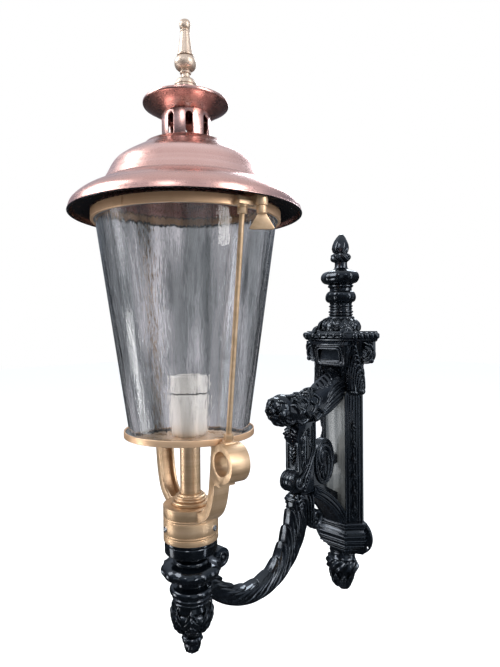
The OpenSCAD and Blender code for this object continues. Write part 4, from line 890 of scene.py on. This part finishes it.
def strut():
    soften(*IRONWORK, 0.8, "strut")
    x = 17.4
    outer = [(-129.5, -2), (-129, -40), (-130.5, -60), (-139, -79), (-152, -99), (-166, -117), (-178, -130)]
    inner = [(-136.5, -8), (-136, -42), (-138, -60), (-146, -78), (-158, -95), (-164, -103)]
    stem = [(-166, -98), (-172, -84), (-160, -68), (-150, -54), (-162, -38), (-170, -26), (-158, -12)]
    half = [rope(at_x(x, outer), 3.0, 10, 90), rope(at_x(x, inner), 1.6, 8, 70),
            rope([(x, -180, -40), (x, -180, -70), (x, -180.5, -92)], 1.6, 8, 40),
            rope(at_x(x, stem), [1.2, 2, 2.2, 2.2, 2, 1.8, 1], 8, 70)]
    for y, z, dy, dz, wide in (
            (-170, -80, 8, 12, 6), (-158, -66, -14, 8, 6.5), (-151, -56, 9, 13, 6), (-156, -46, 12, 12, 6),
            (-164, -36, -11, 8, 6), (-168, -26, 13, 9, 6.5), (-160, -14, 14, -4, 6), (-166, -92, 11, 6, 5.5),
            (-161, -70, 10, -9, 5)):
        line = [(x - 0.6, y, z), (x, y + dy / 2, z + dz / 2), (x - 0.6, y + dy, z + dz)]
        half.append(leaf(line, (1, 0, 0), wide, 4.2, 3, across=12, rows=6))
    for y, z, r in ((-155, -60, 4.4), (-168, -44, 3.6), (-147, -26, 3.4)):
        half.append(blob((x + 0.6, y, z), (3, r, r), k=12, n=8))
        petals = at_x(x, arc((y, z), r, r, 0, 288, 5))
        half += [blob(petal, (2.2, r * 0.55, r * 0.55), k=10, n=6) for petal in petals]
    husk = [(x + 1, -166, -100), (x + 3, -176, -106), (x + 3.4, -186, -112), (x + 2.6, -190, -122),
            (x + 1.4, -182, -129)]
    half += [spiral(FOOT_EYE, 17.5, 1.5, 40, x + 1.2, 4.4, 2.4, 10, 110),
             rope(husk, [1.6, 3.6, 4, 3.4, 1.4], 10, 50), blob((20, *FOOT_EYE), (4, 5.5, 5.5), k=16, n=10)]
    half += [blob((13.8, -140 - 3.0 * i, -96 - 6.2 * i), (3.2, 3.6, 3.6), k=12, n=8) for i in range(8)]
    edge = [(13, -128.6, -66), (13.4, -134, -92), (13.4, -146, -122), (13, -157, -143)]
    half.append(rope(edge, [1.6, 2.2, 2.2, 1.4], 8, 60))
    cap = at_x(0, [(-170, 1), (-181, -5), (-187.5, -16), (-188, -27), (-184.5, -39)])
    long_leaf = at_x(0, [(-181.4, -92), (-182.4, -80), (-182.6, -62), (-181.6, -44)])
    edge, foot = [(-182.6, -45), (-182.6, -70), (-182.6, -94)], arc(FOOT_EYE, 20, 20, 95, 300, 20)
    front = [leaf(cap, [(0, -0.3, 1), (0, -0.7, 0.7), OUT, OUT, OUT], 19, 5, 5, peak=0.5),
             leaf(long_leaf, OUT, 9.5, 4.4, 6, 0.45)]
    front += [rope(at_x(s, edge), 1.3, 8, 40, up=OUT) for s in (-14.2, 14.2)]
    front += [rope(at_x(s, foot), 1.9, 8, 60) for s in (-12, -4, 4, 12)]
    black("strut_relief", both_sides(half))
    black("strut_front", front)


def medallion():
    half = [rope(at_x(7.0, arc(MEDALLION, 32.2, 48.2, 0, 360, 49)), 2.2, 8, 120),
            rope(at_x(7.6, arc(MEDALLION, 27.4, 43.2, 0, 360, 49)), 1.2, 8, 110)]
    outer = [(-72, -139), (-60, -126), (-55, -106), (-58, -84), (-69, -66), (-84, -60), (-96, -68),
             (-101, -84), (-96, -99), (-86, -103)]
    inner = [(-74, -137), (-69, -122), (-66, -104), (-68, -86), (-77, -74), (-87, -76), (-91, -86),
             (-86, -93), (-80, -89)]
    curl = [(-75, -136), (-79, -122), (-78, -108), (-82, -99), (-92, -104), (-97, -113)]
    sprig = [(-76, -137), (-86, -128), (-88, -117), (-95, -117)]
    for path, radii in ((outer, [2, 5.5, 6.5, 6, 5.5, 5, 4.6, 4.2, 3.6, 2.4]),
                        (inner, [1.6, 4.6, 5, 4.6, 4.2, 3.8, 3.4, 3, 3.6]),
                        (curl, [1.6, 4, 4.2, 3.8, 3, 1.2]), (sprig, [1.6, 3.4, 3, 1.2])):
        half.append(rope(at_x(6.5, path), radii, 10, 120, 0.8))
    black("medallion_relief", both_sides(half))
    carry(ENAMEL, "leaf_medallion", "arch_brace", "socket_volute")


def brace():
    """Ribs along the arched brace, and the hook and eye of the small volutes at its ends."""
    limb = Limb([(0, -128, -148, 16, 10), (0, -107, -159, 19, 12), (0, -79, -179, 22, 13),
                 (0, -52, -206, 26, 13), (0, -36, -230, 28, 13)])
    t = np.linspace(0.04, 1, 9)
    half = [rope(limb.at(t, angle, 0.9, 0.62), np.interp(t, [0, 0.12, 1], [r * 0.5, r, r]), 8, 70)
            for angle, r in ((-40, 2.8), (-20, 2.0), (-2, 2.0), (16, 2.2), (36, 3.0), (54, 2.0), (72, 2.0))]
    hook = [(-140, -158), (-131, -172), (-127, -190), (-129, -206), (-125, -220), (-113, -229), (-101, -224),
            (-96, -211), (-102, -200), (-113, -200), (-117, -208), (-111, -214)]
    half += [rope(at_x(4.5, hook), [5, 5.6, 5.4, 5.2, 5.6, 6, 6, 5.6, 5, 4.4, 4.2, 5.6], 12, 130),
             rope(at_x(9.5, hook[1:10]), [0.8, 1.6, 1.8, 1.8, 1.8, 1.8, 1.6, 1.4, 0.8], 8, 100),
             rope([(0.2, y + 1.0, z) for y, z in hook[:11]], 4.4, 10, 110),
             spiral(VOLUTE_EYE, 15.5, 1.6, 150, 8.6, 3.6, 2.2, 8, 100, way=1),
             blob((10, *VOLUTE_EYE), (4, 5.5, 5.5), k=16, n=10)]
    black("brace_ribs", both_sides(half), ["brace_volute"])


def swan():
    """Arm clad in leaves that grow up it: each peels off to a rounded lobe on the inner side."""
    stations = [(0.01, -148, 18, 28), (0.02, -162, 18, 29), (0.045, -190, 18, 28.5), (0.09, -222, 18, 28.5),
                (0.15, -251, 18, 26), (0.23, -275, 17.5, 22), (0.33, -292, 17, 19.5), (0.48, -299, 17, 18),
                (0.62, -293, 16, 17), (0.72, -280, 15, 17), (0.80, -263, 14, 18), (0.87, -246, 14, 20),
                (0.95, -236, 13, 16)]
    limb = Limb([(0, -155 - 295 * u, z, w, h) for u, z, w, h in stations], 400)
    t = np.linspace(0, 1, 560)[:, None]
    a = np.arange(0, 360, 2.5)[None]
    turn = np.arccos(np.clip(np.sin(np.radians(a)), -1, 1)) / np.pi
    peel = 1 - turn
    husk = 10.0 * t - 4.0 * np.clip(peel - 0.16, 0, 1) ** 1.25 + 0.9 * np.clip(0.3 - peel, 0, 1) + 0.02
    f = husk - np.floor(husk)
    rise = np.where(f < 0.10, np.sin(np.pi / 2 * f / 0.10), (1 - (f - 0.10) / 0.90) ** 1.3)
    lip = rise * (1.2 + 6.2 * turn ** 1.8) * (1 - 0.5 * t)
    veins = 1.5 * np.abs(np.sin(np.pi * 2 * f)) ** 0.8 * (1 - 0.35 * t) * (1 - 0.92 * turn ** 3)
    calm = np.clip(t / 0.02, 0, 1) * np.clip((1 - t) / 0.05, 0, 1)
    rings = limb.at(t, a, (lip + veins - 1.9) * calm, 0.76)
    piece("swan_leafwork", *skin(rings), *IRONWORK, ["swan_arm"], HERE, 60)
    band = [(-18, -183, -156), (-10, -186, -155), (10, -186, -155), (18, -183, -156)]
    crown = [rope(band, [3.6, 5.6, 5.6, 3.6], 12, 60, up=RISING)]
    lines = (((-186, -156), (-174, -151), (-162, -156), (-155, -176), (-153, -212)),
             ((-184, -165), (-173, -160), (-165, -170), (-162, -200)),
             ((-182, -175), (-174, -171), (-170, -181), (-170, -202)),
             ((-150, -151), (-147, -165), (-145, -190), (-146, -220)),
             ((-139, -151), (-138, -170), (-138, -196), (-140, -222)))
    for s in (-1, 1):
        for line in lines:
            last = len(line) - 1
            path = [(s * (18.2 + 0.7 * sin(pi * i / last)), y, z) for i, (y, z) in enumerate(line)]
            radii = np.interp(np.linspace(0, 1, last + 1), [0, 0.3, 1], [1.8, 2.8, 0.9])
            crown.append(rope(path, radii, 8, 60))
    black("swan_crown", crown)


def socket():
    profile = outline(
        0, (10, -252), (31.5, -252), (33, -247), (30, 37, -244, -230), (25, -227), (25, -219),
        (30, 51, -216, -190, 20)) + hollow(30, 22, -189, -184)
    profile += outline(
        0, (22, -180), (30, -176), (43, -173), (44, -171.5), (44, -158), (43.2, 44, -157, -152, 6), (43, -151),
        (10, -151))

    def flutes(a, r, z):
        fluted = r * (1 - 0.045 * np.abs(np.cos(np.radians(a * 5))) ** 3)
        return np.where((z < -189) & (z > -217) & (r > 31), fluted, r)

    lathe("arm_socket", profile, *IRONWORK, ["lamp_socket"], SOCKET, carve=flutes, **CARVED)
    z = -252
    drop = outline(
        z, (0, -95), (5, -94), (10, -89.5), (13, -84), (11, -78), (12, 18.3, -75, -63), (15, -60), (19.7, -57),
        (19, 21, -56.5, -51.5, 8), (20, -51), (23, -47), (28, 33, -44, -20), (31, -14), (29, -8),
        (29, 31.5, -6, -0.5, 6), (29, 0), (0, 0))

    def beads(a, r, z):
        h = z + 252
        q = np.where((h < -62) & (h > -76), r * (1 - 0.07 * np.abs(np.cos(np.radians(a * 6)))), r)
        return np.where(h < -77, r * (1 + 0.06 * wave(a * 5)), q)

    lathe("drop_finial", drop, *IRONWORK, ["pendant"], SOCKET, carve=beads, **CARVED)
    leaves = []
    line = [(30.5, -5), (31.5, -14), (33.5, -26), (32.5, -38), (25.5, -49), (21, -54)]
    tip = [(12, -77), (12.6, -83), (9, -90)]
    ups = [(1, 0)] * 3 + [(1, -0.3)] * 3
    for i in range(7):
        angle = 2 * pi * (i + 0.2) / 7
        leaves.append(turned_leaf(angle, z, line, ups, 13.5, 4.6, 4, wrap=32, peak=0.42))
        leaves.append(turned_leaf(angle, z, tip, ups[3:], 5, 2.6, 2, 0.3, wrap=13, across=10))
    line, ups = [(24, -224), (30, -214), (42, -210), (49, -203)], [(1, -0.2), (0.5, -1), (0.4, -1), (1, -0.6)]
    for i in range(8):
        angle = 2 * pi * (i + 0.5) / 8
        leaves.append(turned_leaf(angle, 0, line, ups, 13, 3.4, 3, 0.35, wrap=40))
    black("socket_leaves", leaves, place=SOCKET)


beast()
strut()
medallion()
brace()
swan()
socket()


# Camera, light and floor

# Place, angles and lens of the photo's camera
CAMERA_AT = Vector((0.675, -1.002, 0.200))
LOOK_TURN, LOOK_DOWN, LOOK_ROLL = 44.0, 0.80, -0.59
FOCAL_PX, FRAME_H, SENSOR = 520, 667, 36.0

# Where lights are aimed
MIDDLE, PILLAR, COLUMN = (0.0, -0.35, 0.15), (0, -0.03, -0.06), (0, -0.1, 0)

# Name, place, aim, size, power and colour
LIGHTS = [
    ("key", (-1.5, -2.0, 1.9), MIDDLE, (1.5, 1.5), 55, (1, 1, 1)),
    ("pillar_card", (-1.30, -1.9, -0.56), PILLAR, (0.62, 1.1), 9, (1, 1, 1)),
    ("pillar_strip", (-1.42, -1.9, -0.45), PILLAR, (0.14, 0.7), 3, (1, 1, 1)),
    ("tall_right", (2.0, 0.35, 0.1), COLUMN, (0.30, 2.6), 13, (0.90, 0.95, 1.0)),
    ("right_fill", (2.4, -1.6, 0.0), COLUMN, (1.2, 1.8), 4.5, (0.88, 0.95, 1.0)),
    ("rear_fill", (1.2, 1.8, -0.1), (0, -0.15, -0.1), (1.0, 1.6), 4, (0.88, 0.94, 1.0)),
    ("side", (2.2, -0.2, 1.2), MIDDLE, (0.6, 1.8), 32, (1.0, 0.97, 0.94)),
    ("back", (-0.9, 1.6, 1.7), MIDDLE, (1.2, 1.0), 30, (0.86, 0.93, 1.0)),
    ("lens_side", (1.2, -2.4, 1.9), MIDDLE, (0.6, 0.6), 10, (1, 1, 1)),
]

FLOOR_BELOW = 0.5
FLOOR_HALF = 14


def make_camera():
    cam = bpy.data.cameras.new("camera")
    cam.sensor_fit = "VERTICAL"
    cam.sensor_height = SENSOR
    cam.lens = SENSOR * FOCAL_PX / FRAME_H
    obj = new_object("camera", cam)
    turn = Matrix.Rotation(radians(LOOK_TURN), 4, "Z")
    tilt = Matrix.Rotation(radians(90 - LOOK_DOWN), 4, "X")
    roll = Matrix.Rotation(radians(LOOK_ROLL), 4, "Z")
    obj.matrix_world = Matrix.Translation(CAMERA_AT) @ turn @ tilt @ roll
    bpy.context.scene.camera = obj


def make_lights():
    for name, at, aim, size, power, colour in LIGHTS:
        light = bpy.data.lights.new(name, "AREA")
        light.shape = "RECTANGLE"
        light.size, light.size_y = size
        light.energy, light.color = power, colour
        obj = new_object(name, light)
        way = Vector(aim) - Vector(at)
        obj.matrix_world = Matrix.Translation(at) @ way.to_track_quat("-Z", "Y").to_matrix().to_4x4()
        obj.visible_camera = False


def make_world():
    """White behind the object; what it mirrors is a studio, bright overhead and dim at the sides."""
    world = bpy.data.worlds.new("studio")
    bpy.context.scene.world = world
    tree = Tree(world)
    rise = tree.add("MapRange", {"Value": tree.parts(tree.space("Generated"))["Z"], "From Min": -1})
    studio = [(0.0, (0.035, 0.035, 0.04)), (0.42, (0.04, 0.045, 0.05)), (0.54, (0.08, 0.09, 0.11)),
              (0.72, (0.38, 0.44, 0.54)), (1.0, (0.90, 0.95, 1.0))]
    room = tree.ramp(rise.outputs["Result"], studio)
    rays = tree.add("LightPath").outputs
    through = tree.mixed(rays["Is Transmission Ray"], room, (0.95, 0.94, 0.95, 1))
    soft = tree.mixed(rays["Is Diffuse Ray"], through, (0.85, 0.87, 0.90, 1))
    seen = tree.mixed(rays["Is Camera Ray"], soft, (1, 1, 1, 1))
    tree.fill(tree.nodes["Background"], {"Color": seen})


def make_floor():
    size, z = FLOOR_HALF, cad_box[0][2] - FLOOR_BELOW
    mesh = bpy.data.meshes.new("floor")
    corners = [(-size, -size, z), (size, -size, z), (size, size, z), (-size, size, z)]
    mesh.from_pydata(corners, [], [(0, 1, 2, 3)])
    floor = new_object("floor", mesh)
    floor.visible_glossy = False
    mat, tree, bsdf = shader("pale_floor")
    tree.fill(bsdf, {
        "Base Color": (0.9, 0.9, 0.9, 1), "Roughness": 0.9, "Emission Color": (1, 1, 1, 1),
        "Emission Strength": 0.3})
    mesh.materials.append(mat)


make_camera()
make_world()
make_floor()
make_lights()
bpy.context.scene.view_settings.view_transform = "Standard"
